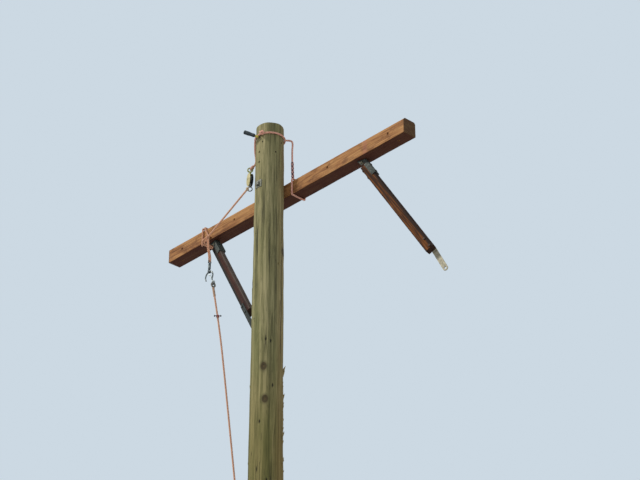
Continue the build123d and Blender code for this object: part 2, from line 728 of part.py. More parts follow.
# Pendant: two strands that hang from the hitch's knot and turn through the swivel's eye
pendant_foot = on_face(PENDANT_ALONG, SEAT_GAP + KNOT_D / 4, PENDANT_FOOT_DROP)
pendant_half = (PENDANT_D + SWIVEL_EYE_WIRE_D) / 2 + PENDANT_SLACK
pendant_route = [
    hitch_knot_centre + Vector(-PENDANT_STRAND_X, 0, -KNOT_D / 2 - SEAT_GAP),
    pendant_foot - Vector(pendant_half, 0, 0),
    pendant_foot + Vector(pendant_half, 0, 0),
    hitch_knot_centre + Vector(PENDANT_STRAND_X, 0, -KNOT_D / 2 - SEAT_GAP),
]
pendant_radii = [pendant_half * PENDANT_BEND] * 2
with BuildPart() as hook_pendant:
    add(rope_tube(pendant_route, PENDANT_D, pendant_radii))
save(hook_pendant, "hook_pendant")

with BuildPart() as hitch_knot:
    add(knot(hitch_knot_centre, KNOT_D))
save(hitch_knot, "hitch_knot")

# Swivel between the pendant and the snap hook
hook_centre = Vector(pendant_foot.X, pendant_foot.Y, POLE_HEIGHT - HOOK_DROP)
swivel_top = pendant_foot + up * (
    PENDANT_D / 2 + SEAT_GAP + SWIVEL_EYE_WIRE_D / 2 - SWIVEL_EYE_R)
swivel_bottom = hook_centre + up * (
    HOOK_R - HOOK_WIRE_D / 2 - SEAT_GAP - SWIVEL_EYE_WIRE_D / 2 + SWIVEL_EYE_R)
with BuildPart() as hook_swivel:
    add(eye(swivel_top, (1, 0, 0), SWIVEL_EYE_R, SWIVEL_EYE_WIRE_D))
    add(eye(swivel_bottom, (1, 0, 0), SWIVEL_EYE_R, SWIVEL_EYE_WIRE_D))
    add(rod(swivel_top - up * SWIVEL_EYE_R, swivel_bottom + up * SWIVEL_EYE_R, SWIVEL_EYE_WIRE_D))
    add(rod(swivel_top - up * SWIVEL_EYE_R * SWIVEL_BARREL_INSET,
            swivel_bottom + up * SWIVEL_EYE_R * SWIVEL_BARREL_INSET, SWIVEL_BARREL_D))
save(hook_swivel, "hook_swivel")

# Snap hook: an open bow, a shank to the eye of the falling line, and its latch
hook_plane = Plane(origin=hook_centre, x_dir=(1, 0, 0), z_dir=(0, -1, 0))
hook_eye_centre = Vector(HOOK_EYE_ALONG - brace_bolt_x, pendant_foot.Y, POLE_HEIGHT - HOOK_EYE_DROP)
bow_start = hook_plane.from_local_coords(
    Vector(HOOK_R * cos(radians(HOOK_START)), HOOK_R * sin(radians(HOOK_START)), 0))
shank_way = (hook_eye_centre - bow_start).normalized()
with BuildPart() as snap_hook:
    with BuildLine(hook_plane) as bow:
        CenterArc((0, 0), HOOK_R, HOOK_START, HOOK_SWEEP)
    with BuildSketch(Plane(origin=bow.line @ 0, z_dir=bow.line % 0)):
        Circle(HOOK_WIRE_D / 2)
    sweep()
    with Locations(bow_start):
        Sphere(HOOK_WIRE_D / 2)
    add(rod(bow_start, hook_eye_centre - shank_way * HOOK_EYE_R, HOOK_WIRE_D))
    add(eye(hook_eye_centre, (0, 1, 0), HOOK_EYE_R, HOOK_EYE_WIRE_D))
save(snap_hook, "snap_hook")

latch_angle = radians(LATCH_ANGLE)
latch_reach = HOOK_R - HOOK_WIRE_D / 2 - SEAT_GAP
latch_foot = hook_plane.from_local_coords(
    Vector(latch_reach * cos(latch_angle), latch_reach * sin(latch_angle), 0))
with BuildPart() as hook_latch:
    add(rod(latch_foot, hook_plane.from_local_coords(Vector(*LATCH_TIP, 0)), LATCH_D))
save(hook_latch, "hook_latch")

# Eye and splice of the falling line
line_eye_centre = hook_eye_centre - up * (
    HOOK_EYE_R - HOOK_EYE_WIRE_D / 2 + ROPE_EYE_R - LINE_D / 2 - SEAT_GAP)
with BuildPart() as line_eye:
    add(eye(line_eye_centre, (1, 0, 0), ROPE_EYE_R, LINE_D))
save(line_eye, "line_eye")

fall_route = [Vector(along - brace_bolt_x, pendant_foot.Y, POLE_HEIGHT - drop)
              for along, drop in FALL_POINTS]
first_run = fall_route[1] - fall_route[0]
splice_top = fall_route[0] - first_run.normalized() * LINE_SPLICE_LENGTH
with BuildPart() as line_splice:
    add(rod(splice_top, fall_route[0], LINE_SPLICE_D))
    add(eye(line_eye_centre, (1, 0, 0), ROPE_EYE_R, LINE_D + 2 * SEAT_GAP), mode=Mode.SUBTRACT)
save(line_splice, "line_splice")

# Falling line, drawn tight to the lower right, with a small tie across it and a knot at its end
with BuildPart() as hand_line_fall:
    add(rope_tube(fall_route, LINE_D))
save(hand_line_fall, "hand_line_fall")

tie_middle = fall_route[0] + first_run * ((POLE_HEIGHT - TIE_DROP - fall_route[0].Z) / first_run.Z)
tie_front = tie_middle - rig_behind * ((LINE_D + TIE_D) / 2 + SEAT_GAP)
with BuildPart() as fall_tie:
    add(rod(tie_front - rig_side * TIE_LENGTH / 2, tie_front + rig_side * TIE_LENGTH / 2, TIE_D))
save(fall_tie, "fall_tie")

last_way = (fall_route[-1] - fall_route[-2]).normalized()
with BuildPart() as fall_knot:
    add(knot(fall_route[-1] + last_way * (FALL_KNOT_D / 2 + SEAT_GAP), FALL_KNOT_D))
save(fall_knot, "fall_knot")
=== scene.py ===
"""Looks of a wooden utility pole: timber, crossarm, braces, hardware and rigging."""
import logging
import math
from dataclasses import dataclass, field
from enum import Enum

import bmesh
import bpy
import numpy as np
from mathutils import Matrix, Vector


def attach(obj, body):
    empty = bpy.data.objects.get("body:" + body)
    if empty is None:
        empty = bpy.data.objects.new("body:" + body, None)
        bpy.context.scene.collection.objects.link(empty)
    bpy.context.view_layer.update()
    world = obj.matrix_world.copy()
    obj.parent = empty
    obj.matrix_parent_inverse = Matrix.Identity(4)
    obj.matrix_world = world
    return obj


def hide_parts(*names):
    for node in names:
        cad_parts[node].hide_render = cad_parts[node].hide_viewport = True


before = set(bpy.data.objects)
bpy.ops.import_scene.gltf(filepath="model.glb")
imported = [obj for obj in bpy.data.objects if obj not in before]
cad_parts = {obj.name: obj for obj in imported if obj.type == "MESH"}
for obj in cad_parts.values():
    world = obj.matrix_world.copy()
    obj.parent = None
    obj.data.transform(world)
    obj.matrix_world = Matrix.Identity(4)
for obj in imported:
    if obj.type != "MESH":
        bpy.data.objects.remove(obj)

LOG = logging.getLogger("utility_pole")
UP = Vector((0.0, 0.0, 1.0))
POLE_BODY = "pole"

# Sizes and places that several pieces share, in metres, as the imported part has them.
POLE_HEIGHT = 8.839
POLE_TOP_RADIUS = 0.0975
POLE_BASE_RADIUS = 0.150
ARM_FRONT_Y = 0.097446
ARM_MIDDLE_Y = 0.151446
ARM_MIDDLE_Z = 8.343
ARM_BOTTOM_Z = 8.286
ARM_HALF_WIDTH = 0.054
ARM_HALF_HEIGHT = 0.057
BOLT_HOLE_RADIUS = 0.00875
BRACE_BOLT_X = 0.761997
BLOCK_EYE_RADIUS = 0.017
BLOCK_EYE_WIRE = 0.0045
ROPE_EYE_RADIUS = 0.016
HOOK_X = -0.733
HOOK_EYE_RADIUS = 0.013
HOOK_EYE_WIRE = 0.004
MERGE_DISTANCE = 1e-6

# The hook's eye: its X and its drop below the pole's top.
HOOK_EYE_PLACE = (-0.684, 0.935)

# Control points of a ring.
RING_STEPS = 12

# A place outside every timber, for a feature that a timber doesn't have.
FAR_OUTSIDE = 9.0


class Hand(Enum):
    """Way in which a rope's strands are laid."""

    RIGHT = 1.0
    LEFT = -1.0


class Side(Enum):
    """The two braces, by the side of the pole they hang on."""

    LEFT = "left"
    RIGHT = "right"


def linear(red: float, green: float, blue: float) -> tuple[float, float, float, float]:
    """Turn a colour as seen on a screen into the light values that a shader takes.

    Args:
        red: Red from 0 to 1.
        green: Green from 0 to 1.
        blue: Blue from 0 to 1.

    Returns:
        The colour in linear light with an alpha of 1.
    """
    parts = [c / 12.92 if c <= 0.04045 else ((c + 0.055) / 1.055) ** 2.4 for c in (red, green, blue)]
    return (parts[0], parts[1], parts[2], 1.0)


class Value:
    """An output socket that takes part in Python expressions."""

    def __init__(self, tree: "NodeTree", socket: bpy.types.NodeSocket) -> None:
        """Keep the tree and the socket."""
        self.tree = tree
        self.socket = socket

    def _math(self, operation: str, first: object, second: object = 0.0) -> "Value":
        """Add a Math node for one operation on two values."""
        return self.tree.value("ShaderNodeMath", {"operation": operation}, {0: first, 1: second})

    def __add__(self, other: object) -> "Value":
        """Sum."""
        return self._math("ADD", self, other)

    def __radd__(self, other: object) -> "Value":
        """Sum with a number on the left."""
        return self._math("ADD", other, self)

    def __sub__(self, other: object) -> "Value":
        """Difference."""
        return self._math("SUBTRACT", self, other)

    def __rsub__(self, other: object) -> "Value":
        """Difference from a number on the left."""
        return self._math("SUBTRACT", other, self)

    def __mul__(self, other: object) -> "Value":
        """Product."""
        return self._math("MULTIPLY", self, other)

    def __rmul__(self, other: object) -> "Value":
        """Product with a number on the left."""
        return self._math("MULTIPLY", other, self)

    def __truediv__(self, other: object) -> "Value":
        """Quotient."""
        return self._math("DIVIDE", self, other)

    def __abs__(self) -> "Value":
        """Size without its sign."""
        return self._math("ABSOLUTE", self)

    def cos(self) -> "Value":
        """Cosine of an angle in radians."""
        return self._math("COSINE", self)

    def sin(self) -> "Value":
        """Sine of an angle in radians."""
        return self._math("SINE", self)

    def rounded(self) -> "Value":
        """Nearest whole number."""
        return self._math("ROUND", self)

    def wave(self) -> "Value":
        """Sine of an angle in radians, from 0 to 1."""
        return self.sin().between(-1.0, 1.0)

    def crossing(self, width: float, height: float = 1.0) -> "Value":
        """Thin line, of one height, where the value passes one half."""
        return abs(self - 0.5).between(0.0, width, height, 0.0)

    def between(self, low: float, high: float, start: float = 0.0, end: float = 1.0) -> "Value":
        """Map a range smoothly to another, held at its ends.

        Args:
            low: Value that gives start.
            high: Value that gives end.
            start: Result at or below low.
            end: Result at or above high.

        Returns:
            The mapped value.
        """
        return self.tree.value(
            "ShaderNodeMapRange",
            {"interpolation_type": "SMOOTHSTEP"},
            {"Value": self, "From Min": low, "From Max": high, "To Min": start, "To Max": end},
        )


class NodeTree:
    """Builds the nodes of one tree."""

    def __init__(self, nodes: bpy.types.NodeTree) -> None:
        """Start from an empty tree."""
        self.nodes = nodes
        self.nodes.nodes.clear()

    def node(self, kind: str, settings: dict | None = None, inputs: dict | None = None) -> bpy.types.Node:
        """Add one node.

        Args:
            kind: Type name of the node.
            settings: Its settings, and under "stops" the stops of a ramp.
            inputs: Values or links of its sockets, by name or number.

        Returns:
            The new node.
        """
        made = self.nodes.nodes.new(kind)
        for name, setting in (settings or {}).items():
            if name == "stops":
                self._set_stops(made.color_ramp, setting)
            else:
                setattr(made, name, setting)
        for name, given in (inputs or {}).items():
            if isinstance(given, Value):
                self.nodes.links.new(given.socket, made.inputs[name])
            else:
                made.inputs[name].default_value = given
        return made

    def value(self, kind: str, settings: dict | None = None, inputs: dict | None = None,
              output: int | str = 0) -> Value:
        """Add one node and give one of its outputs as a value."""
        return Value(self, self.node(kind, settings, inputs).outputs[output])

    def vector(self, operation: str, inputs: dict, output: int = 0) -> Value:
        """Add one operation on vectors."""
        return self.value("ShaderNodeVectorMath", {"operation": operation}, inputs, output)

    @staticmethod
    def _set_stops(ramp: bpy.types.ColorRamp, stops: list) -> None:
        """Set the stops of a colour ramp."""
        while len(ramp.elements) < len(stops):
            ramp.elements.new(1.0)
        for element, (place, colour) in zip(ramp.elements, stops):
            element.position = place
            element.color = colour


class Shader(NodeTree):
    """Nodes of one material."""

    def __init__(self, name: str) -> None:
        """Make the material and its output."""
        self.material = bpy.data.materials.new(name)
        self.material.use_nodes = True
        super().__init__(self.material.node_tree)
        self.output = self.node("ShaderNodeOutputMaterial")

    def place(self) -> Value:
        """Object coordinates."""
        return self.value("ShaderNodeTexCoord", output="Object")

    def facing(self) -> Value:
        """Direction that the surface faces, in the piece's own frame."""
        return self.value("ShaderNodeTexCoord", output="Normal")

    def attribute(self, name: str, output: str = "Vector") -> Value:
        """A named attribute of the mesh."""
        return self.value("ShaderNodeAttribute", {"attribute_name": name}, output=output)

    def part_of(self, vector: Value, axis: int) -> Value:
        """One of a vector's three numbers."""
        return self.value("ShaderNodeSeparateXYZ", inputs={0: vector}, output=axis)

    def noise(self, vector: Value, scale: float = 1.0, detail: float = 2.0, rough: float = 0.5,
              output: int = 0) -> Value:
        """A noise pattern from 0 to 1, or its colour as a vector with output 1."""
        return self.value(
            "ShaderNodeTexNoise", None,
            {"Vector": vector, "Scale": scale, "Detail": detail, "Roughness": rough}, output,
        )

    def streaks(self, vector: Value, across: float, along: float, detail: float = 2.0, rough: float = 0.5,
                output: int = 0) -> Value:
        """Noise that is stretched along the third number.

        Args:
            vector: Place in the wood.
            across: Scale of the noise across the grain.
            along: Scale of the noise along the grain.
            detail: Detail of the noise.
            rough: Roughness of the noise.
            output: Number of the noise's output.

        Returns:
            The noise from 0 to 1.
        """
        stretched = self.vector("MULTIPLY", {0: vector, 1: (across, across, along)})
        return self.noise(stretched, detail=detail, rough=rough, output=output)

    def swayed(self, vector: Value, across: float, along: float, amount: float) -> Value:
        """A vector pushed about by a broad noise, so that straight lines wander.

        Args:
            vector: The vector.
            across: Scale of the noise across the grain.
            along: Scale of the noise along the grain.
            amount: Largest push.

        Returns:
            The pushed vector.
        """
        push = self.streaks(vector, across, along, output=1)
        centred = self.vector("SUBTRACT", {0: push, 1: (0.5, 0.5, 0.5)})
        push = self.vector("MULTIPLY", {0: centred, 1: (amount, amount, amount)})
        return self.vector("ADD", {0: vector, 1: push})

    def years(self, place: Value, pith: tuple[float, float, float], count: float, scale: float,
              wander: float) -> Value:
        """Year rings of a sawn end.

        Args:
            place: Place in the wood.
            pith: Way from the tree's middle to the piece's.
            count: Radians of the rings' wave in each metre.
            scale: Scale of the rings' wander.
            wander: Amount of the rings' wander.

        Returns:
            The rings from 0 to 1.
        """
        flat = self.vector("MULTIPLY", {0: place, 1: (1, 1, 0)})
        across = self.vector("LENGTH", {0: self.vector("ADD", {0: flat, 1: pith})}, 1)
        return (across * count + self.noise(place, scale) * wander).wave()

    @staticmethod
    def _light(colour: object) -> object:
        """Turn a screen colour of three numbers into light. Anything else stays as it is."""
        return linear(*colour) if isinstance(colour, tuple) and len(colour) == 3 else colour

    def ramp(self, factor: Value, *stops: tuple) -> Value:
        """Colours along a ramp."""
        shown = [(place, self._light(colour)) for place, colour in stops]
        return self.value("ShaderNodeValToRGB", {"stops": shown}, {0: factor})

    def mix(self, factor: object, first: object, second: object, blend: str = "MIX") -> Value:
        """Mix two colours."""
        return self.value("ShaderNodeMix", {"data_type": "RGBA", "blend_type": blend},
                          {0: factor, 6: self._light(first), 7: self._light(second)}, 2)

    def bump(self, height: Value, distance: float, strength: float) -> Value:
        """Surface relief from a height."""
        return self.value(
            "ShaderNodeBump", None, {"Height": height, "Distance": distance, "Strength": strength})

    def finish(self, colour: object, rough: object, normal: Value | None = None,
               **more: object) -> bpy.types.Material:
        """Close the tree with its surface.

        Args:
            colour: Base colour.
            rough: Roughness.
            normal: Relief.
            more: Other sockets of the surface, with underscores for spaces.

        Returns:
            The material.
        """
        inputs: dict = {"Base Color": colour, "Roughness": rough}
        if normal is not None:
            inputs["Normal"] = normal
        inputs.update({name.replace("_", " "): given for name, given in more.items()})
        surface = self.value("ShaderNodeBsdfPrincipled", None, inputs)
        self.nodes.links.new(surface.socket, self.output.inputs[0])
        return self.material


@dataclass(frozen=True)
class PoleTimber:
    """Weathered round pole of treated pine: olive, streaked along its length, with a lighter tan painted as
    light on its side towards the camera's right.
    """

    name: str = "pole_timber"
    slot: str = "pole_wood"
    pale: tuple = (0.66, 0.62, 0.46)
    middle: tuple = (0.49, 0.47, 0.32)
    deep: tuple = (0.27, 0.26, 0.18)
    green: tuple = (0.44, 0.46, 0.28)
    tan: tuple = (0.56, 0.46, 0.30)
    crack_and_shade: tuple = (0.13, 0.12, 0.09)
    earth: tuple = (0.27, 0.25, 0.20)
    heart: tuple = (0.36, 0.25, 0.15)
    late_wood: tuple = (0.30, 0.25, 0.17)
    early_wood: tuple = (0.50, 0.43, 0.28)
    grey: tuple = (0.38, 0.36, 0.29)
    lower: tuple = (0.74, 0.69, 0.53, 1.0)

    def material(self) -> bpy.types.Material:
        """Build the material."""
        tree = Shader(self.name)
        place = tree.attribute("grain")
        grain = tree.swayed(place, 5.0, 1.1, 0.030)
        broad = tree.streaks(grain, 9.0, 0.55, 3.0)
        streak = tree.streaks(grain, 42.0, 1.3, 4.0, 0.6)
        fine = tree.streaks(grain, 170.0, 5.0, 3.0, 0.65)
        fleck = tree.streaks(grain, 90.0, 14.0)
        check = tree.streaks(grain, 33.0, 0.75, rough=0.4).crossing(0.016)
        check = check * tree.streaks(grain, 14.0, 1.6, 1.0).between(0.5, 0.62)
        tone = streak * 0.55 + fine * 0.3 + broad * 0.15
        colour = tree.ramp(tone, (0.37, self.deep), (0.48, self.middle), (0.60, self.pale))
        tint = tree.streaks(grain, 6.0, 0.9).between(0.42, 0.66, 0.0, 0.45)
        colour = tree.mix(tint, colour, self.green)
        colour = tree.mix(fleck.between(0.6, 0.74, 0.0, 0.4), colour, self.deep)
        height = tree.part_of(place, 2)
        # Painted light: a lighter tan on the pole's side towards the camera's right, which faces away from
        # the key light.
        camera_right_reach = tree.part_of(place, 0) * 0.66 + tree.part_of(place, 1) * 0.75
        painted_side_light = (camera_right_reach + (broad - 0.5) * 0.06).between(0.035, 0.105, 0.0, 0.55)
        colour = tree.mix(painted_side_light, colour, self.tan)
        lower = (POLE_HEIGHT - height).between(1.4, 2.6)
        colour = tree.mix(lower, colour, self.lower, "MULTIPLY")
        damp = (height + tree.streaks(grain, 8.0, 1.0) * 0.5).between(0.35, 1.5, 0.75, 0.0)
        colour = tree.mix(damp, colour, self.earth)
        knot = tree.attribute("knot", "Fac")
        eye = tree.mix((knot * 26.0 + fine * 5.0).wave(), self.crack_and_shade, self.heart)
        colour = tree.mix(knot.between(0.30, 0.55, 0.0, 0.85), colour, eye)
        colour = tree.mix(knot.between(0.05, 0.30, 0.0, 0.35), colour, self.deep)
        # Painted shade: the checks, nicks and nail holes are darkened by their depth, and the walls of the
        # drilled holes nearly black.
        colour = tree.mix(tree.attribute("cut", "Fac").between(0.15, 0.9), colour, self.crack_and_shade)
        end = tree.attribute("end", "Fac")
        year = tree.years(place, (0.0, 0.0, 0.0), 1150.0, 24.0, 9.0)
        sawn = tree.mix(year, self.late_wood, self.early_wood)
        sawn = tree.mix(tree.noise(place, 60.0, 3.0).between(0.35, 0.7, 0.0, 0.7), sawn, self.grey)
        colour = tree.mix(end, colour, sawn)
        colour = tree.mix(check * (1 - end) * 0.85, colour, self.crack_and_shade)
        relief = tree.bump(streak * 0.5 + fine * 0.45 - check * 1.4, 0.004, 0.75)
        return tree.finish(colour, 0.78 + fine * 0.2, relief, Specular_IOR_Level=0.25)


@dataclass(frozen=True)
class SawnTimber:
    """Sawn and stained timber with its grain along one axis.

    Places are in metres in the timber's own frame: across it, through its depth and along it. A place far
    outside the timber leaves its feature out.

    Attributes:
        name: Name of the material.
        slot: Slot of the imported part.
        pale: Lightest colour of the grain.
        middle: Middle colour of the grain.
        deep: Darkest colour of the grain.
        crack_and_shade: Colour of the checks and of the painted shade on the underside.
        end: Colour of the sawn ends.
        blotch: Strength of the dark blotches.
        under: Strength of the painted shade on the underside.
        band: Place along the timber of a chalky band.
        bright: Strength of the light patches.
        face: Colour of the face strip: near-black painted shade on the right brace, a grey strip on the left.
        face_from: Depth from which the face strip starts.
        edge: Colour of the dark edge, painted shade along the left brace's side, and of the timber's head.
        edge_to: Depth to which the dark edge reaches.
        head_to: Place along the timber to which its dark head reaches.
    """

    name: str
    slot: str
    pale: tuple
    middle: tuple
    deep: tuple
    crack_and_shade: tuple
    end: tuple
    blotch: float
    under: float
    band: float = FAR_OUTSIDE
    bright: float = 0.0
    face: tuple = (0.2, 0.2, 0.2)
    face_from: float = FAR_OUTSIDE
    edge: tuple = (0.1, 0.1, 0.1)
    edge_to: float = -FAR_OUTSIDE
    head_to: float = -FAR_OUTSIDE

    def material(self) -> bpy.types.Material:
        """Build the material. The mesh gives the grain's own directions, along the third number."""
        tree = Shader(self.name)
        place = tree.attribute("grain")
        grain = tree.swayed(place, 7.0, 1.6, 0.016)
        arch = tree.streaks(grain, 22.0, 0.9)
        line = (arch * 58.0).wave()
        streak = tree.streaks(grain, 60.0, 2.2, 4.0, 0.6)
        fine = tree.streaks(grain, 260.0, 8.0, 3.0, 0.6)
        tone = streak * 0.5 + fine * 0.28 + line * 0.12 + arch * 0.1
        colour = tree.ramp(tone, (0.30, self.deep), (0.46, self.middle), (0.64, self.pale))
        mottle = tree.streaks(place, 15.0, 9.0, 5.0, 0.65)
        colour = tree.mix(mottle.between(0.48, 0.66, 0.0, self.blotch), colour, self.deep)
        glow = tree.streaks(place, 9.0, 4.0, 3.0).between(0.5, 0.68, 0.0, self.bright)
        colour = tree.mix(glow, colour, self.pale)
        deep = tree.part_of(place, 1) + (streak - 0.5) * 0.010
        # The face strip: on the right brace, a near-black painted shade along the face that is turned from
        # the light.
        strip = deep.between(self.face_from - 0.0025, self.face_from + 0.0025, 0.0, 0.8)
        face_strip_colour = tree.mix(fine.between(0.3, 0.6, 0.35, 1.0), self.crack_and_shade, self.face)
        colour = tree.mix(strip, colour, face_strip_colour)
        # The dark edge: on the left brace, a band of painted shade along its side.
        border = deep.between(self.edge_to - 0.006, self.edge_to + 0.006, 0.9, 0.0)
        colour = tree.mix(border, colour, self.edge)
        along = tree.part_of(place, 2)
        head = (along + (streak - 0.5) * 0.05).between(self.head_to - 0.02, self.head_to + 0.02, 0.7, 0.0)
        colour = tree.mix(head, colour, self.edge)
        chalk = abs(along - self.band).between(0.006, 0.034, 0.38, 0.0)
        colour = tree.mix(chalk, colour, (0.66, 0.42, 0.36))
        # Painted shade: faces that look down are darkened towards the dark crack and shade colour.
        below = tree.part_of(tree.facing(), 2).between(-0.95, -0.35, self.under, 0.0)
        colour = tree.mix(below, colour, self.crack_and_shade)
        check = tree.streaks(grain, 38.0, 0.9, 1.0).crossing(0.010)
        check = check * tree.streaks(grain, 18.0, 1.4).between(0.54, 0.64)
        colour = tree.mix(check * 0.8, colour, self.crack_and_shade)
        sawn = tree.mix(tree.years(place, (0.03, 0.085, 0.0), 1300.0, 30.0, 6.0), self.crack_and_shade, self.end)
        sawn = tree.mix(tree.noise(place, 45.0, 3.0).between(0.4, 0.65, 0.0, 0.6), sawn, self.end)
        colour = tree.mix(tree.attribute("end", "Fac"), colour, sawn)
        saw = (along * 900.0 + tree.noise(place, 12.0) * 3.0).sin() * 0.05
        relief = tree.bump(streak * 0.35 + fine * 0.4 + saw - check * 1.2, 0.0022, 0.7)
        return tree.finish(colour, 0.62 + fine * 0.3, relief, Specular_IOR_Level=0.15)


# The arm's underside gets strong painted shade (under).
ARM_TIMBER = SawnTimber(
    "arm_timber", "arm_wood", pale=(0.74, 0.555, 0.355), middle=(0.60, 0.41, 0.25), deep=(0.38, 0.235, 0.155),
    crack_and_shade=(0.235, 0.10, 0.075), end=(0.40, 0.31, 0.20), blotch=0.62, under=0.92, band=0.85, bright=0.55)
# The left brace's dark edge band is painted shade.
LEFT_BRACE_TIMBER = SawnTimber(
    "left_brace_timber", "brace_wood", pale=(0.33, 0.19, 0.13), middle=(0.23, 0.125, 0.095),
    deep=(0.15, 0.09, 0.075), crack_and_shade=(0.12, 0.08, 0.07), end=(0.22, 0.15, 0.11), blotch=0.6, under=0.1,
    face=(0.40, 0.36, 0.33), face_from=0.0255, edge=(0.12, 0.13, 0.12), edge_to=-0.012, head_to=0.165)
# The right brace's near-black face strip is painted shade.
RIGHT_BRACE_TIMBER = SawnTimber(
    "right_brace_timber", "brace_wood", pale=(0.54, 0.32, 0.13), middle=(0.27, 0.155, 0.08),
    deep=(0.15, 0.09, 0.055), crack_and_shade=(0.10, 0.07, 0.06), end=(0.24, 0.15, 0.10), blotch=0.5, under=0.1,
    bright=0.4, face=(0.12, 0.11, 0.105), face_from=0.012, edge=(0.13, 0.09, 0.065), edge_to=-0.025)


@dataclass(frozen=True)
class WornMetal:
    """Metal with a dull film, dark places and rubbed spots.

    Attributes:
        name: Name of the material.
        slot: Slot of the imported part.
        colour: Main colour.
        stain: Colour of the dark places.
        worn: Colour of the rubbed spots.
        metallic: How far it is bare metal.
        rough: Roughness at its least.
        stained: Strength of the dark places.
        relief: Depth of the relief in metres.
    """

    name: str
    slot: str
    colour: tuple
    stain: tuple
    worn: tuple
    metallic: float
    rough: float
    stained: float
    relief: float = 0.0004

    def material(self) -> bpy.types.Material:
        """Build the material."""
        tree = Shader(self.name)
        place = tree.place()
        cloud = tree.noise(place, 70.0, 4.0, 0.6)
        grit = tree.noise(place, 900.0)
        spangle = tree.value("ShaderNodeTexVoronoi", {"feature": "F1"}, {"Vector": place, "Scale": 420.0}, 1)
        colour = tree.mix(tree.part_of(spangle, 0) * 0.3, self.colour, self.worn)
        colour = tree.mix(cloud.between(0.42, 0.66, 0.0, self.stained), colour, self.stain)
        rub = tree.noise(place, 160.0, 3.0).between(0.56, 0.7, 0.0, 0.7)
        colour = tree.mix(rub, colour, self.worn)
        relief = tree.bump(grit * 0.5 + cloud, self.relief, 0.6)
        return tree.finish(colour, self.rough + cloud * 0.25 - rub * 0.12, relief, Metallic=self.metallic)


GALVANISED = WornMetal(
    "galvanised", "galvanised",
    (0.46, 0.46, 0.41), (0.20, 0.22, 0.19), (0.58, 0.57, 0.51), 0.35, 0.55, 0.8)
PALE_GALVANISED = WornMetal(
    "pale_galvanised", "galvanised",
    (0.64, 0.61, 0.52), (0.44, 0.41, 0.33), (0.76, 0.73, 0.62), 0.25, 0.52, 0.65)
DARK_GALVANISED = WornMetal(
    "dark_galvanised", "galvanised",
    (0.21, 0.24, 0.23), (0.11, 0.14, 0.13), (0.40, 0.41, 0.36), 0.3, 0.58, 0.8)
# A near-black copy of the galvanised finish: painted shade on the left brace's tang.
SHADED_GALVANISED = WornMetal(
    "shaded_galvanised", "galvanised",
    (0.10, 0.13, 0.12), (0.06, 0.08, 0.08), (0.18, 0.21, 0.19), 0.3, 0.6, 0.6)
RUSTY_STEEL = WornMetal(
    "rusty_steel", "galvanised",
    (0.25, 0.17, 0.12), (0.14, 0.10, 0.08), (0.40, 0.30, 0.22), 0.3, 0.6, 0.6)
BRIGHT_STEEL = WornMetal(
    "bright_steel", "galvanised",
    (0.36, 0.39, 0.39), (0.12, 0.14, 0.15), (0.72, 0.74, 0.72), 0.9, 0.24, 0.75)
DARK_STEEL = WornMetal(
    "dark_steel", "dark_steel",
    (0.20, 0.22, 0.23), (0.09, 0.10, 0.11), (0.42, 0.42, 0.40), 0.8, 0.42, 0.6)
BECKET_STEEL = WornMetal(
    "becket_steel", "dark_steel",
    (0.34, 0.34, 0.33), (0.12, 0.12, 0.13), (0.70, 0.68, 0.62), 0.7, 0.35, 0.8)
FERRULE_BRASS = WornMetal(
    "ferrule_brass", "ferrule_brass",
    (0.78, 0.70, 0.28), (0.34, 0.30, 0.12), (0.90, 0.85, 0.48), 0.85, 0.3, 0.55)
HOOK_PAINT = WornMetal(
    "hook_paint", "hook_yellow",
    (0.60, 0.62, 0.26), (0.36, 0.36, 0.20), (0.56, 0.52, 0.47), 0.15, 0.5, 0.65)


@dataclass(frozen=True)
class MouldedShell:
    """Moulded or cast shell, matte, with scuffs."""

    name: str
    slot: str
    colour: tuple
    scuff: tuple
    grime: tuple
    rough: float

    def material(self) -> bpy.types.Material:
        """Build the material."""
        tree = Shader(self.name)
        place = tree.place()
        cloud = tree.noise(place, 45.0, 4.0, 0.6)
        colour = tree.mix(cloud.between(0.45, 0.7, 0.0, 0.6), self.colour, self.grime)
        colour = tree.mix(tree.streaks(place, 260.0, 60.0).crossing(0.02, 0.6), colour, self.scuff)
        grit = tree.noise(place, 700.0)
        return tree.finish(colour, self.rough + cloud * 0.2, tree.bump(grit + cloud, 0.0003, 0.5))


BLOCK_SHELL = MouldedShell(
    "block_shell", "block_shell", (0.76, 0.71, 0.50), (0.86, 0.83, 0.68), (0.50, 0.45, 0.28), 0.45)
HANDLE_GRIP = MouldedShell(
    "handle_grip", "handle_plastic", (0.12, 0.17, 0.19), (0.30, 0.36, 0.38), (0.06, 0.09, 0.10), 0.5)


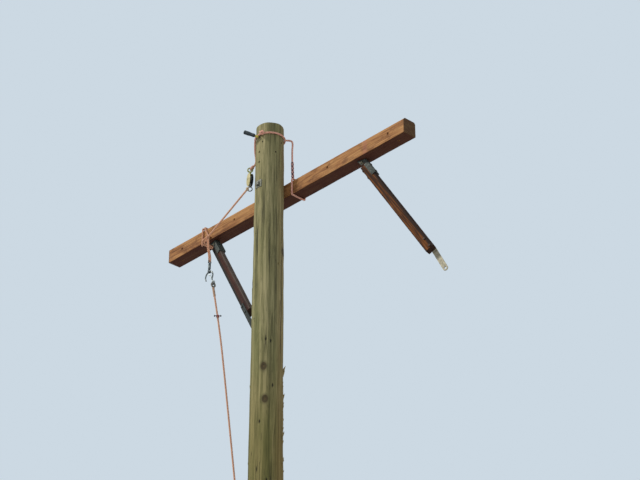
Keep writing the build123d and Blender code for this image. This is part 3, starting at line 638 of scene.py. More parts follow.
@dataclass(frozen=True)
class RopeYarn:
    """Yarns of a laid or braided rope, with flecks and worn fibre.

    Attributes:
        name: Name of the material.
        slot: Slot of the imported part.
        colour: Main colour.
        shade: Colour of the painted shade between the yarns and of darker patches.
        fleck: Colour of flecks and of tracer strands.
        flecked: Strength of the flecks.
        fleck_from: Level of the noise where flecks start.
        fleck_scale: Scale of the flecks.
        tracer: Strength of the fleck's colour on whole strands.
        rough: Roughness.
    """

    name: str
    slot: str
    colour: tuple
    shade: tuple
    fleck: tuple
    flecked: float
    fleck_from: float = 0.58
    fleck_scale: float = 2.3
    tracer: float = 0.0
    rough: float = 0.85

    def material(self) -> bpy.types.Material:
        """Build the material. The mesh gives the way along and around each strand."""
        tree = Shader(self.name)
        along, around, strand = (tree.attribute(name, "Fac") for name in ("along", "around", "strand"))
        yarn = tree.value("ShaderNodeCombineXYZ", None,
                          {0: along * 120.0 + strand * 7.3, 1: around * 9.0, 2: strand})
        thread = (around * 6.2832 * 7.0 + along * 1100.0).wave()
        patch = tree.noise(yarn, 0.9, 3.0, 0.6)
        hair = tree.noise(tree.place(), 1400.0)
        colour = tree.mix(patch.between(0.35, 0.62), self.shade, self.colour)
        # Painted shade in the grooves between the yarns.
        colour = tree.mix((1 - thread) * 0.35, colour, self.shade)
        spots = tree.noise(yarn, self.fleck_scale)
        spots = spots.between(self.fleck_from, self.fleck_from + 0.08, 0.0, self.flecked)
        colour = tree.mix(spots, colour, self.fleck)
        if self.tracer:
            marked = (strand * math.pi).cos().between(0.1, 0.3, 0.0, self.tracer)
            colour = tree.mix(marked, colour, self.fleck)
        relief = tree.bump(thread * 0.6 + hair * 0.5, 0.0009, 0.8)
        return tree.finish(colour, self.rough, relief, Sheen_Weight=0.25)


SLING_YARN = RopeYarn(
    "sling_yarn", "sling_rope", (0.95, 0.74, 0.64), (0.76, 0.48, 0.40), (0.97, 0.86, 0.78), 0.45)
LINE_YARN = RopeYarn(
    "line_yarn", "line_rope", (0.93, 0.72, 0.56), (0.74, 0.48, 0.36), (0.96, 0.89, 0.78), 0.5)
SPLICE_YARN = RopeYarn(
    "splice_yarn", "sling_rope", (0.97, 0.74, 0.70), (0.84, 0.56, 0.52), (0.07, 0.05, 0.06), 0.6,
    fleck_from=0.55, fleck_scale=0.8, tracer=0.9)
EYE_YARN = RopeYarn(
    "eye_yarn", "line_rope", (0.80, 0.78, 0.73), (0.20, 0.16, 0.15), (0.08, 0.08, 0.09), 0.95)
FALL_SPLICE_YARN = RopeYarn(
    "fall_splice_yarn", "line_rope", (0.84, 0.69, 0.55), (0.58, 0.42, 0.32), (0.90, 0.82, 0.72), 0.4)
BECKET_YARN = RopeYarn(
    "becket_yarn", "line_rope", (0.92, 0.84, 0.68), (0.66, 0.52, 0.40), (0.97, 0.93, 0.84), 0.5)
WRAP_YARN = RopeYarn(
    "wrap_yarn", "tie_cord", (0.86, 0.50, 0.50), (0.58, 0.26, 0.26), (0.20, 0.12, 0.14), 0.7)
DARK_CORD = RopeYarn(
    "dark_cord", "tie_cord", (0.13, 0.14, 0.16), (0.06, 0.06, 0.08), (0.30, 0.30, 0.33), 0.25)


class Finishes:
    """Makes each finish once and hands out its material."""

    def __init__(self) -> None:
        """Start with none made."""
        self.made: dict[str, bpy.types.Material] = {}

    def of(self, finish: object) -> bpy.types.Material:
        """Material of a finish."""
        if finish.name not in self.made:
            self.made[finish.name] = finish.material()
        return self.made[finish.name]


FINISHES = Finishes()


def placed(name: str, data: bpy.types.ID) -> bpy.types.Object:
    """Put data into the scene as an object."""
    made = bpy.data.objects.new(name, data)
    bpy.context.scene.collection.objects.link(made)
    return made


def mesh_object(name: str, vertices: object, faces: list, smooth: bool = True) -> bpy.types.Object:
    """Make an object from vertices and faces.

    Args:
        name: Name of the piece.
        vertices: Places of the vertices in metres.
        faces: Vertex numbers of each face.
        smooth: Whether the faces shade smoothly.

    Returns:
        The new object.
    """
    mesh = bpy.data.meshes.new(name)
    mesh.from_pydata([tuple(v) for v in vertices], [], faces)
    mesh.validate()
    mesh.update()
    if smooth:
        mesh.shade_smooth()
    else:
        mesh.shade_flat()
    return placed(name, mesh)


def baked(source: bpy.types.Object, name: str) -> bpy.types.Object:
    """Turn an object with its modifiers into a plain mesh object and remove the first one."""
    graph = bpy.context.evaluated_depsgraph_get()
    mesh = bpy.data.meshes.new_from_object(
        source.evaluated_get(graph), preserve_all_data_layers=True, depsgraph=graph)
    mesh.name = name
    bpy.data.objects.remove(source)
    return placed(name, mesh)


def joined(name: str, parts: list[bpy.types.Object]) -> bpy.types.Object:
    """Join objects into one."""
    with bpy.context.temp_override(active_object=parts[0], object=parts[0], selected_editable_objects=parts,
                                   selected_objects=parts):
        bpy.ops.object.join()
    parts[0].name = name
    parts[0].data.name = name
    return parts[0]


def settle(piece: bpy.types.Object, finish: object, *nodes: str, body: str = POLE_BODY) -> bpy.types.Object:
    """Give a finished piece its material, its body and the nodes that it stands for.

    Args:
        piece: The finished piece.
        finish: Its finish.
        nodes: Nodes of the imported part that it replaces.
        body: Body that it rides on.

    Returns:
        The piece.
    """
    material = FINISHES.of(finish)
    if not any(slot == material for slot in piece.data.materials):
        piece.data.materials.clear()
        piece.data.materials.append(material)
    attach(piece, body)
    if nodes:
        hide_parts(*nodes)
    LOG.info("%s: %d faces, rides on %s", piece.name, len(piece.data.polygons), body)
    return piece


def write_numbers(piece: bpy.types.Object, name: str, numbers: np.ndarray) -> None:
    """Write one number or one vector for each vertex as a named attribute."""
    kind, key = ("FLOAT_VECTOR", "vector") if numbers.ndim == 2 else ("FLOAT", "value")
    layer = piece.data.attributes.new(name, kind, "POINT")
    layer.data.foreach_set(key, numbers.astype(np.float32).ravel())


def read_places(piece: bpy.types.Object) -> np.ndarray:
    """Places of a piece's vertices."""
    places = np.empty(len(piece.data.vertices) * 3, np.float32)
    piece.data.vertices.foreach_get("co", places)
    return places.reshape(-1, 3).astype(float)


def cut(piece: bpy.types.Object, cutters: list[bpy.types.Object]) -> bpy.types.Object:
    """Cut closed shapes out of a piece and remove them."""
    for cutter in cutters:
        modifier = piece.modifiers.new("hole", "BOOLEAN")
        modifier.operation = "DIFFERENCE"
        modifier.solver = "MANIFOLD"
        modifier.object = cutter
    made = baked(piece, piece.name)
    for cutter in cutters:
        bpy.data.objects.remove(cutter)
    return made


def axis_turn(way: Vector) -> Matrix:
    """Turn that brings the vertical to a direction."""
    return way.to_track_quat("Z", "Y").to_matrix()


def circle(centre: Vector, turn: Matrix, radius: float, sides: int, level: float = 0.0) -> list[Vector]:
    """Points of a circle round an axis.

    Args:
        centre: Point on the axis.
        turn: Turn of the axis from the vertical.
        radius: Radius of the circle.
        sides: Number of points.
        level: Distance of the circle from the centre, along the axis.

    Returns:
        The points.
    """
    angles = (math.tau * i / sides for i in range(sides))
    return [centre + turn @ Vector((radius * math.cos(a), radius * math.sin(a), level)) for a in angles]


def tube_faces(rings: int, sides: int, capped: bool = False) -> list[tuple]:
    """Faces between rings of vertices, and across the first and the last one if they are capped."""
    faces = []
    for low in range(0, (rings - 1) * sides, sides):
        for i in range(sides):
            here, there = low + i, low + (i + 1) % sides
            faces.append((here, there, there + sides, here + sides))
    if capped:
        faces += [tuple(reversed(range(sides))), tuple(range((rings - 1) * sides, rings * sides))]
    return faces


def drill(start: Vector, end: Vector, radius: float, sides: int = 24) -> bpy.types.Object:
    """A closed round tool between two points, for cutting a hole."""
    way = end - start
    turn = axis_turn(way)
    vertices = circle(start, turn, radius, sides) + circle(start + way, turn, radius, sides)
    return mesh_object("drill", vertices, tube_faces(2, sides, capped=True))


def shade_by_angle(piece: bpy.types.Object, degrees: float) -> None:
    """Turn the faces outwards and shade them smoothly, but for edges that turn by more than an angle."""
    outward(piece)
    piece.data.shade_smooth()
    with bpy.context.temp_override(active_object=piece, object=piece, selected_editable_objects=[piece]):
        bpy.ops.object.shade_smooth_by_angle(angle=math.radians(degrees))


def ripple(around: np.ndarray, along: np.ndarray, seed: int, terms: int, turns: tuple[int, int],
           lengths: tuple[float, float]) -> np.ndarray:
    """Smooth waviness over a closed surface, about -1 to 1.

    Args:
        around: Angle of each vertex.
        along: Distance of each vertex along the piece.
        seed: Seed of the pattern.
        terms: Number of waves that are summed.
        turns: Fewest and most waves round the piece.
        lengths: Shortest and longest wave along the piece.

    Returns:
        One number for each vertex.
    """
    pick = np.random.default_rng(seed)
    total = np.zeros_like(around)
    for _ in range(terms):
        count = pick.integers(turns[0], turns[1] + 1)
        wave = math.tau / pick.uniform(*lengths) * pick.choice((-1.0, 1.0))
        total += np.cos(count * around + wave * along + pick.uniform(0, math.tau))
    return total / math.sqrt(terms)


def pole_radius(drop: object) -> object:
    """Radius of the pole at a distance below its top."""
    return POLE_TOP_RADIUS + (POLE_BASE_RADIUS - POLE_TOP_RADIUS) * drop / POLE_HEIGHT


def apart(angle: np.ndarray, place: object) -> np.ndarray:
    """Angle from a place, by the shorter way round."""
    return (angle - place + math.pi) % math.tau - math.pi


@dataclass
class Pole:
    """The tapered round timber with its checks, knots, nicks, drilled holes and splinters.

    Spots on its side have an azimuth and a drop below the top. The azimuth is in degrees from the front,
    towards the +X side.
    """

    top_chamfer: float = 0.006
    gain_half: float = 0.060
    columns: int = 144
    fine_to: float = 3.3
    fine_step: float = 0.0105
    coarse_step: float = 0.0215
    checks: int = 34
    check_seed: int = 11
    groove_drop: float = 0.813
    face_hole_drops: tuple = (0.233, 0.316)
    side_hole_drop: float = 1.132
    drill_reach: float = 0.2
    nail_holes: tuple = (
        (103, 0.151), (16, 0.156), (73, 0.245), (-9, 1.543), (150, 0.30), (205, 1.21), (-40, 2.42))
    nail_radius: float = 0.0034
    knots: tuple = (
        (43, 2.153), (37, 1.917), (-38, 1.27), (118, 1.02), (170, 2.02), (-95, 0.74), (215, 3.1), (10, 3.35),
        (75, 3.9), (-60, 4.6), (140, 5.2), (20, 5.9), (250, 6.6), (90, 7.3), (-20, 7.9))
    nicks: tuple = (
        (43, 1.715), (61, 1.728), (25, 2.31), (70, 2.05), (52, 2.72), (30, 3.05), (66, 3.4), (40, 3.8))
    top_splits: tuple = ((0.5, 1.6), (1.9, 1.2), (2.8, 0.9), (3.9, 1.7), (5.2, 1.1), (5.9, 0.8))
    splinter_seed: int = 29
    large_splinters: tuple = (
        (136, 1.86, 0.07, 0.010, 0.016), (131, 1.90, 0.05, 0.007, 0.012), (139, 2.06, 0.05, 0.006, 0.010))

    def on_side(self, azimuth: float, drop: float, out: float = 0.0) -> Vector:
        """Point on the surface, or out from it."""
        angle = math.radians(azimuth - 90)
        reach = pole_radius(drop) + out
        return Vector((reach * math.cos(angle), reach * math.sin(angle), POLE_HEIGHT - drop))

    def _rows(self) -> np.ndarray:
        """Heights of the rows of vertices, closer together near the top and at the gain's edges."""
        change, end = POLE_HEIGHT - self.fine_to, POLE_HEIGHT - self.top_chamfer
        edges = [ARM_MIDDLE_Z + side * (self.gain_half + step) for side in (-1, 1) for step in (0.0, 0.0006)]
        rows = np.concatenate([
            np.arange(change, end, self.fine_step), np.arange(0.0, change, self.coarse_step), edges, [end]])
        return np.unique(np.round(rows, 5))

    def _check_depth(self, angle: np.ndarray, drop: np.ndarray) -> np.ndarray:
        """Depth of the drying checks at each vertex, in metres."""
        pick = np.random.default_rng(self.check_seed)
        depth = np.zeros_like(angle)
        for _ in range(self.checks):
            start = pick.uniform(-0.2, 8.3)
            length = pick.uniform(0.35, 1.7)
            place = pick.uniform(0, math.tau)
            width = pick.uniform(0.0045, 0.0085)
            deep = pick.uniform(0.003, 0.0085)
            sway = pick.uniform(0.01, 0.04)
            phase = pick.uniform(0, 6.28)
            share = (drop - start) / length
            inside = np.clip(1 - np.abs(2 * share - 1) ** 3, 0, 1) * ((share > 0) & (share < 1))
            line = place + sway * np.sin(drop * 3.1 + phase) + 0.006 * np.sin(drop * 23 + phase)
            away = np.abs(apart(angle, line)) * pole_radius(drop)
            depth = np.maximum(depth, deep * inside * np.clip(1 - away / width, 0, 1))
        return depth

    @staticmethod
    def _bump(angle: np.ndarray, drop: np.ndarray, spot: tuple, wide: float, high: float) -> np.ndarray:
        """Rounded bump of height 1 at one spot of the surface."""
        across = apart(angle, math.radians(spot[0] - 90)) * pole_radius(drop)
        return np.exp(-0.5 * ((across / wide) ** 2 + ((drop - spot[1]) / high) ** 2))

    @staticmethod
    def _bend(rise: np.ndarray) -> tuple[np.ndarray, np.ndarray]:
        """Slight crookedness of the trunk below the rigging."""
        swell = np.sin(math.pi * np.clip(rise / 7.0, 0, 1)) ** 2
        return 0.008 * swell * np.sin(rise * 1.1), 0.006 * swell * np.cos(rise * 0.9)

    def _reach(self, angle: np.ndarray, rise: np.ndarray) -> np.ndarray:
        """Distance of each vertex from the axis."""
        drop = POLE_HEIGHT - rise
        depth = self._check_depth(angle, drop)
        reach = pole_radius(drop)
        reach = reach + 0.0011 * ripple(angle, rise, seed=3, terms=26, turns=(2, 7), lengths=(0.25, 1.4))
        reach = reach + 0.00055 * ripple(angle, rise, seed=5, terms=60, turns=(12, 46), lengths=(0.12, 0.7))
        for spot in self.knots:
            swell = self._bump(angle, drop, spot, wide=0.024, high=0.034)
            pit = self._bump(angle, drop, spot, wide=0.010, high=0.013)
            reach = reach + 0.004 * swell - 0.0045 * pit
        for spot in self.nicks:
            depth = np.maximum(depth, 0.006 * self._bump(angle, drop, spot, wide=0.0042, high=0.011))
        groove = np.exp(-0.5 * ((drop - self.groove_drop) / 0.008) ** 2)
        return np.minimum(reach - depth - 0.0009 * groove, pole_radius(drop) + 0.0035)

    def _loops(self) -> list[np.ndarray]:
        """Loops of vertices from the base up and over the chamfer to near the middle of the top."""
        turn = math.tau * np.arange(self.columns) / self.columns
        rise, angle = np.meshgrid(self._rows(), turn, indexing="ij")
        reach = self._reach(angle, rise)
        edge = reach[-1] - self.top_chamfer
        # Each row has its reach, its height and its shift along X and Y.
        rows = list(zip(reach, rise, *self._bend(rise)))
        rows.append((reach[-1] - self.top_chamfer * 0.55, POLE_HEIGHT - self.top_chamfer * 0.2, 0.0, 0.0))
        rows.append((edge, POLE_HEIGHT, 0.0, 0.0))
        split = self._split_depth(turn)
        for share in (0.93, 0.85, 0.74, 0.62, 0.5, 0.37, 0.24, 0.12):
            level = POLE_HEIGHT - 0.0004 - split * min(1.0, share * 1.6) * 0.012
            rows.append((edge * share, level, 0.0, 0.0))
        return [
            np.stack([far * np.cos(turn) + x, far * np.sin(turn) + y, np.broadcast_to(level, turn.shape)], 1)
            for far, level, x, y in rows
        ]

    def build(self) -> None:
        """Build and dress the pole."""
        loops = self._loops()
        vertices = np.concatenate(loops + [[[0, 0, POLE_HEIGHT - 0.0006]], [[0, 0, 0]]])
        piece = mesh_object("pole_timber", vertices, self._faces(len(loops)))
        places = read_places(piece)
        level = np.abs(places[:, 2] - ARM_MIDDLE_Z) <= self.gain_half + 0.0002
        places[level, 1] = np.minimum(places[level, 1], ARM_FRONT_Y)
        piece.data.vertices.foreach_set("co", places.astype(np.float32).ravel())
        piece.data.update()
        piece = cut(piece, self._drills())
        self._write_pattern(piece)
        settle(piece, PoleTimber(), "pole_shaft")
        settle(self._splinters(), PoleTimber())

    def _split_depth(self, turn: np.ndarray) -> np.ndarray:
        """Narrow radial splits of the sawn top, 1 at their middle line."""
        splits = np.zeros(self.columns)
        for place, wide in self.top_splits:
            away = np.abs(apart(turn, place)) * self.columns / math.tau
            splits = np.maximum(splits, np.clip(1 - away / wide, 0, 1))
        return splits

    def _faces(self, loops: int) -> list[tuple]:
        """Faces between the loops, to the middle of the top and across the base."""
        n = self.columns
        last, top = (loops - 1) * n, loops * n
        faces = tube_faces(loops, n)
        faces += [(last + i, last + (i + 1) % n, top) for i in range(n)]
        faces += [((i + 1) % n, i, top + 1) for i in range(n)]
        return faces

    def _drills(self) -> list[bpy.types.Object]:
        """Tools for the drilled holes and the nail holes."""
        tools = []
        back, side = Vector((0, self.drill_reach, 0)), Vector((self.drill_reach, 0, 0))
        holes = [(drop, back) for drop in (*self.face_hole_drops, POLE_HEIGHT - ARM_MIDDLE_Z)]
        for drop, way in (*holes, (self.side_hole_drop, side)):
            level = Vector((0, 0, POLE_HEIGHT - drop))
            tools.append(drill(level - way, level + way, BOLT_HOLE_RADIUS))
        for spot in self.nail_holes:
            tools.append(drill(self.on_side(*spot, -0.016), self.on_side(*spot, 0.02), self.nail_radius, 10))
        return tools

    def _write_pattern(self, piece: bpy.types.Object) -> None:
        """Write the attributes that the wood's pattern follows."""
        places = read_places(piece)
        drop = POLE_HEIGHT - places[:, 2]
        sideways, forward = self._bend(places[:, 2])
        grain = places - np.stack([sideways, forward, np.zeros(len(places))], 1)
        angle = np.arctan2(grain[:, 1], grain[:, 0]) % math.tau
        write_numbers(piece, "grain", grain)
        knot = np.zeros(len(places))
        for spot in self.knots:
            knot = np.maximum(knot, self._bump(angle, drop, spot, wide=0.016, high=0.022))
        # Painted shade in the recesses: deeper checks, nicks and nail holes are darker, and the walls of the
        # drilled holes darkest.
        depth = self._check_depth(angle, drop) / 0.006
        for spots, wide, high in ((self.nicks, 0.005, 0.012), (self.nail_holes, 0.0045, 0.006)):
            for spot in spots:
                depth = np.maximum(depth, self._bump(angle, drop, spot, wide, high))
        inside = np.hypot(grain[:, 0], grain[:, 1]) < pole_radius(drop) - 0.010
        shaded_hole_walls = inside & (drop > 0.03) & (grain[:, 1] < ARM_FRONT_Y - 0.002)
        depth[shaded_hole_walls] = 1.0
        end = (drop < 0.0035).astype(float)
        depth[end > 0] = 0.0
        write_numbers(piece, "knot", knot)
        write_numbers(piece, "cut", np.clip(depth, 0, 1))
        write_numbers(piece, "end", end)

    def _splinters(self) -> bpy.types.Object:
        """Slivers that stand off the side of the trunk where spurs have torn it."""
        pick = np.random.default_rng(self.splinter_seed)
        spots = [(135 + pick.uniform(-22, 22), pick.uniform(1.72, 3.4), pick.uniform(0.014, 0.05),
                  pick.uniform(0.002, 0.0045), pick.uniform(0.003, 0.009)) for _ in range(46)]
        spots += [(pick.uniform(0, 360), pick.uniform(0.5, 7.5), pick.uniform(0.012, 0.04), 0.0025,
                   pick.uniform(0.001, 0.004)) for _ in range(60)]
        spots += self.large_splinters
        pattern = [(0, 3, 4, 1), (1, 4, 5, 2), (3, 6, 4), (4, 6, 5), (0, 1, 2), (0, 2, 5, 3), (3, 5, 6)]
        vertices: list = []
        faces: list = []
        for azimuth, drop, length, half, lift in spots:
            root = len(vertices)
            wide = math.degrees(half / pole_radius(drop))
            bend_x, bend_y = self._bend(np.array([POLE_HEIGHT - drop]))
            shift = Vector((float(bend_x[0]), float(bend_y[0]), 0.0))
            ring = [
                (-wide, length, -0.002), (0.0, length, 0.0012), (wide, length, -0.002),
                (-wide, length * 0.45, -0.001), (0.0, length * 0.4, lift * 0.55 + 0.002),
                (wide, length * 0.45, -0.001), (wide * 0.4, 0.0, lift),
            ]
            vertices += [self.on_side(azimuth + turn, drop + low, out) + shift for turn, low, out in ring]
            faces += [tuple(root + i for i in face) for face in pattern]
        piece = mesh_object("pole_splinters", vertices, faces, smooth=False)
        outward(piece)
        places = read_places(piece)
        write_numbers(piece, "grain", places)
        for name in ("knot", "cut", "end"):
            write_numbers(piece, name, np.zeros(len(places)))
        return piece


def outward(piece: bpy.types.Object) -> None:
    """Merge doubles and turn the faces of closed shapes outwards."""
    mesh = bmesh.new()
    mesh.from_mesh(piece.data)
    bmesh.ops.remove_doubles(mesh, verts=mesh.verts, dist=MERGE_DISTANCE)
    bmesh.ops.recalc_face_normals(mesh, faces=mesh.faces)
    mesh.to_mesh(piece.data)
    mesh.free()
    piece.data.update()


@dataclass
class SawnBar:
    """A sawn timber of one section, with worn edges, a little waviness and its sawn ends.

    Attributes:
        name: Name of the piece.
        start: Middle of its first end.
        along: Direction of its length.
        across: Direction of its width.
        length: Length in metres.
        half_across: Half its width.
        half_deep: Half its depth, square to both directions.
        chamfer: Sizes of the chamfers on its upper and its lower edges.
        step: Distance between the points round its section.
        wear: Depth of the wear.
        seed: Seed of the wear's pattern.
        offset: Number that the grain's length starts with.
        end_reach: Depth to which an end counts as sawn.
    """

    name: str
    start: Vector
    along: Vector
    across: Vector
    length: float
    half_across: float
    half_deep: float
    chamfer: tuple
    step: float
    wear: float
    seed: int
    offset: float
    end_reach: float = 0.0004

    def _frame(self) -> np.ndarray:
        """The bar's three directions as rows."""
        return np.array([self.across, self.along.cross(self.across), self.along])

    def _section(self) -> np.ndarray:
        """Points round the section. The chamfers are of its upper and its lower edges."""
        a, d = self.half_across, self.half_deep
        top, low = self.chamfer
        ring = []
        for side in (1, -1):
            for level, size in ((1, top), (-1, low)):
                ring += [(side * (a - size), level * d), (side * a, level * (d - size))]
        ring.sort(key=lambda corner: math.atan2(corner[1], corner[0]) % math.tau)
        dense: list = []
        for here, there in zip(ring, ring[1:] + ring[:1]):
            count = max(1, round(math.dist(here, there) / self.step))
            dense += [(here[0] + (there[0] - here[0]) * i / count, here[1] + (there[1] - here[1]) * i / count)
                      for i in range(count)]
        return np.array(dense)

    def build(self) -> bpy.types.Object:
        """Build the timber's closed mesh."""
        section = self._section()
        n = len(section)
        angle = np.arctan2(section[:, 1], section[:, 0])
        local = []
        for station in np.linspace(0, self.length, max(2, round(self.length / (self.step * 1.6))) + 1):
            way = np.full(n, station)
            broad = ripple(angle, way, seed=self.seed, terms=30, turns=(1, 9), lengths=(0.05, 0.5))
            worn = self.wear * (0.5 + 0.5 * broad)
            small = ripple(angle, way, seed=self.seed + 1, terms=40, turns=(12, 40), lengths=(0.02, 0.12))
            fine = 0.25 * self.wear * small
            shrink = 1 - (np.clip(worn, 0, 2.2 * self.wear) + fine) / np.hypot(section[:, 0], section[:, 1])
            local.append(np.column_stack([section * np.minimum(shrink, 1.0)[:, None], way]))
        shares = (0.97, 0.86, 0.66, 0.42, 0.2)
        starts = [local[0] * (share, share, 1) for share in reversed(shares)]
        ends = [local[-1] * (share, share, 1) for share in shares]
        rings = starts + local + ends
        points = np.concatenate(rings + [[[0, 0, 0]], [[0, 0, self.length]]])
        last, first = (len(rings) - 1) * n, len(rings) * n
        faces = tube_faces(len(rings), n)
        faces += [((i + 1) % n, i, first) for i in range(n)]
        faces += [(last + i, last + (i + 1) % n, first + 1) for i in range(n)]
        piece = mesh_object(self.name, points @ self._frame() + np.array(self.start), faces)
        outward(piece)
        return piece

    def write_pattern(self, piece: bpy.types.Object) -> None:
        """Write the grain's directions and the sawn ends."""
        local = (read_places(piece) - np.array(self.start)) @ self._frame().T
        write_numbers(piece, "grain", local + (0, 0, self.offset))
        ends = (local[:, 2] < self.end_reach) | (local[:, 2] > self.length - self.end_reach)
        write_numbers(piece, "end", ends.astype(float))


@dataclass
class Crossarm:
    """The sawn crossarm with its bolt and pin holes."""

    half_length: float = 1.219
    pin_x: float = 1.118
    bolt_x: tuple = (0.483, 1.067)
    drill_reach: float = 0.08

    def _through(self, x: float, way: Vector) -> bpy.types.Object:
        """Tool for one hole through the arm."""
        middle = Vector((x, ARM_MIDDLE_Y, ARM_MIDDLE_Z))
        return drill(middle - way * self.drill_reach, middle + way * self.drill_reach, BOLT_HOLE_RADIUS)

    def build(self) -> None:
        """Build and dress the crossarm."""
        start = Vector((-self.half_length, ARM_MIDDLE_Y, ARM_MIDDLE_Z))
        bar = SawnBar(
            "arm_timber", start, Vector((1, 0, 0)), Vector((0, 1, 0)), 2 * self.half_length, ARM_HALF_WIDTH,
            ARM_HALF_HEIGHT, (0.010, 0.002), step=0.006, wear=0.0006, seed=41, offset=-self.half_length)
        piece = bar.build()
        tools = []
        for side in (-1, 1):
            tools += [self._through(side * x, Vector((0, 1, 0))) for x in self.bolt_x]
            tools.append(self._through(side * self.pin_x, UP))
        piece = cut(piece, tools)
        bar.write_pattern(piece)
        settle(piece, ARM_TIMBER, "crossarm")


def softened(node: str, size: float) -> bpy.types.Object:
    """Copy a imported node, merge its triangles and round its sharp edges.

    Args:
        node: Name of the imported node.
        size: Width of the rounding in metres.

    Returns:
        The new piece.
    """
    mesh = bmesh.new()
    mesh.from_mesh(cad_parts[node].data)
    bmesh.ops.remove_doubles(mesh, verts=mesh.verts, dist=MERGE_DISTANCE)
    bmesh.ops.dissolve_limit(mesh, angle_limit=math.radians(0.6), verts=mesh.verts, edges=mesh.edges)
    made = bpy.data.meshes.new(f"{node}_worn")
    mesh.to_mesh(made)
    mesh.free()
    piece = placed(made.name, made)
    modifier = piece.modifiers.new("rounding", "BEVEL")
    modifier.width = size
    modifier.segments = 3
    modifier.limit_method = "ANGLE"
    modifier.angle_limit = math.radians(32)
    modifier.use_clamp_overlap = True
    piece = baked(piece, made.name)
    shade_by_angle(piece, 34)
    piece.data.materials.clear()
    return piece


def dress_softened(node: str, size: float, finish: object, body: str = POLE_BODY) -> None:
    """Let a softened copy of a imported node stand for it."""
    settle(softened(node, size), finish, node, body=body)


@dataclass
class Brace:
    """One loose brace: its timber, and its strap, tang and rivets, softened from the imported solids."""

    side: Side
    bolt_x: float
    heading: float
    lean: float
    timber: SawnTimber
    timber_start: float = 0.060
    timber_length: float = 0.925
    half_across: float = 0.022
    half_deep: float = 0.032

    def build(self) -> None:
        """Build and dress the brace."""
        lean = math.radians(self.lean)
        turn = math.radians(self.heading)
        ahead = Vector((math.cos(turn), math.sin(turn), 0))
        across = Vector((-math.sin(turn), math.cos(turn), 0))
        down = ahead * math.sin(lean) - UP * math.cos(lean)
        top = Vector((self.bolt_x, ARM_MIDDLE_Y, ARM_BOTTOM_Z))
        name = f"{self.side.value}_brace"
        right = self.side is Side.RIGHT
        start = top + down * self.timber_start
        bar = SawnBar(
            f"{name}_wood", start, down, across, self.timber_length, self.half_across, self.half_deep,
            (0.008, 0.0015), step=0.0045, wear=0.0005, seed=56 if right else 55, offset=self.timber_start)
        piece = bar.build()
        bar.write_pattern(piece)
        settle(piece, self.timber, f"{name}_timber", body=name)
        dress_softened(f"{name}_strap", 0.0010, DARK_GALVANISED, name)
        # On the left brace the tang is near-black and the rivets dark: painted shade that matches the shade
        # band on that side.
        dress_softened(f"{name}_tang", 0.0010, PALE_GALVANISED if right else SHADED_GALVANISED, name)
        dress_softened(f"{name}_rivets", 0.0022, RUSTY_STEEL if right else DARK_GALVANISED, name)


@dataclass
class Bolts:
    """Through bolt, brace bolts, nuts and washers, with cut threads."""

    arm_bolt_end: float = 0.260046
    brace_bolt_low: float = 8.2594

    def build(self) -> None:
        """Build and dress the hardware of the joints."""
        for node in ("arm_bolt_nut", "pole_side_washer", "arm_side_washer"):
            dress_softened(node, 0.0009, GALVANISED)
        end = Vector((0, self.arm_bolt_end, ARM_MIDDLE_Z))
        self._build_bolt("arm_bolt", 0.0012, end, Vector((0, -1, 0)), (0.008, 0.0021, 0.046))
        for side, sign in ((Side.LEFT, -1), (Side.RIGHT, 1)):
            name = f"{side.value}_brace"
            low = Vector((sign * BRACE_BOLT_X, ARM_MIDDLE_Y, self.brace_bolt_low))
            self._build_bolt(f"{name}_bolt", 0.0008, low, UP, (0.00635, 0.0018, 0.018))
            dress_softened(f"{name}_nut", 0.0009, PALE_GALVANISED)

    def _build_bolt(self, node: str, size: float, end: Vector, way: Vector, thread: tuple) -> None:
        """Soften a bolt and cut a thread on its end. The thread has a radius, a pitch and a length."""
        worn = [softened(node, size), turned("thread", end, way, self._thread(*thread), 24)]
        settle(joined(f"{node}_worn", worn), GALVANISED, node)

    @staticmethod
    def _thread(radius: float, pitch: float, length: float) -> list[tuple[float, float]]:
        """Outline of a cut thread from a bolt's end."""
        lift, lead = 0.0004, 0.0006
        outline = [(lift, 0.0), (lift, radius - lead)]
        for turn in range(round(length / pitch)):
            outline += [(lead + turn * pitch, radius - lift), (lead + (turn + 0.5) * pitch, radius + lift)]
        return outline + [(lead + length, radius - lift), (lead + length, 0.0)]


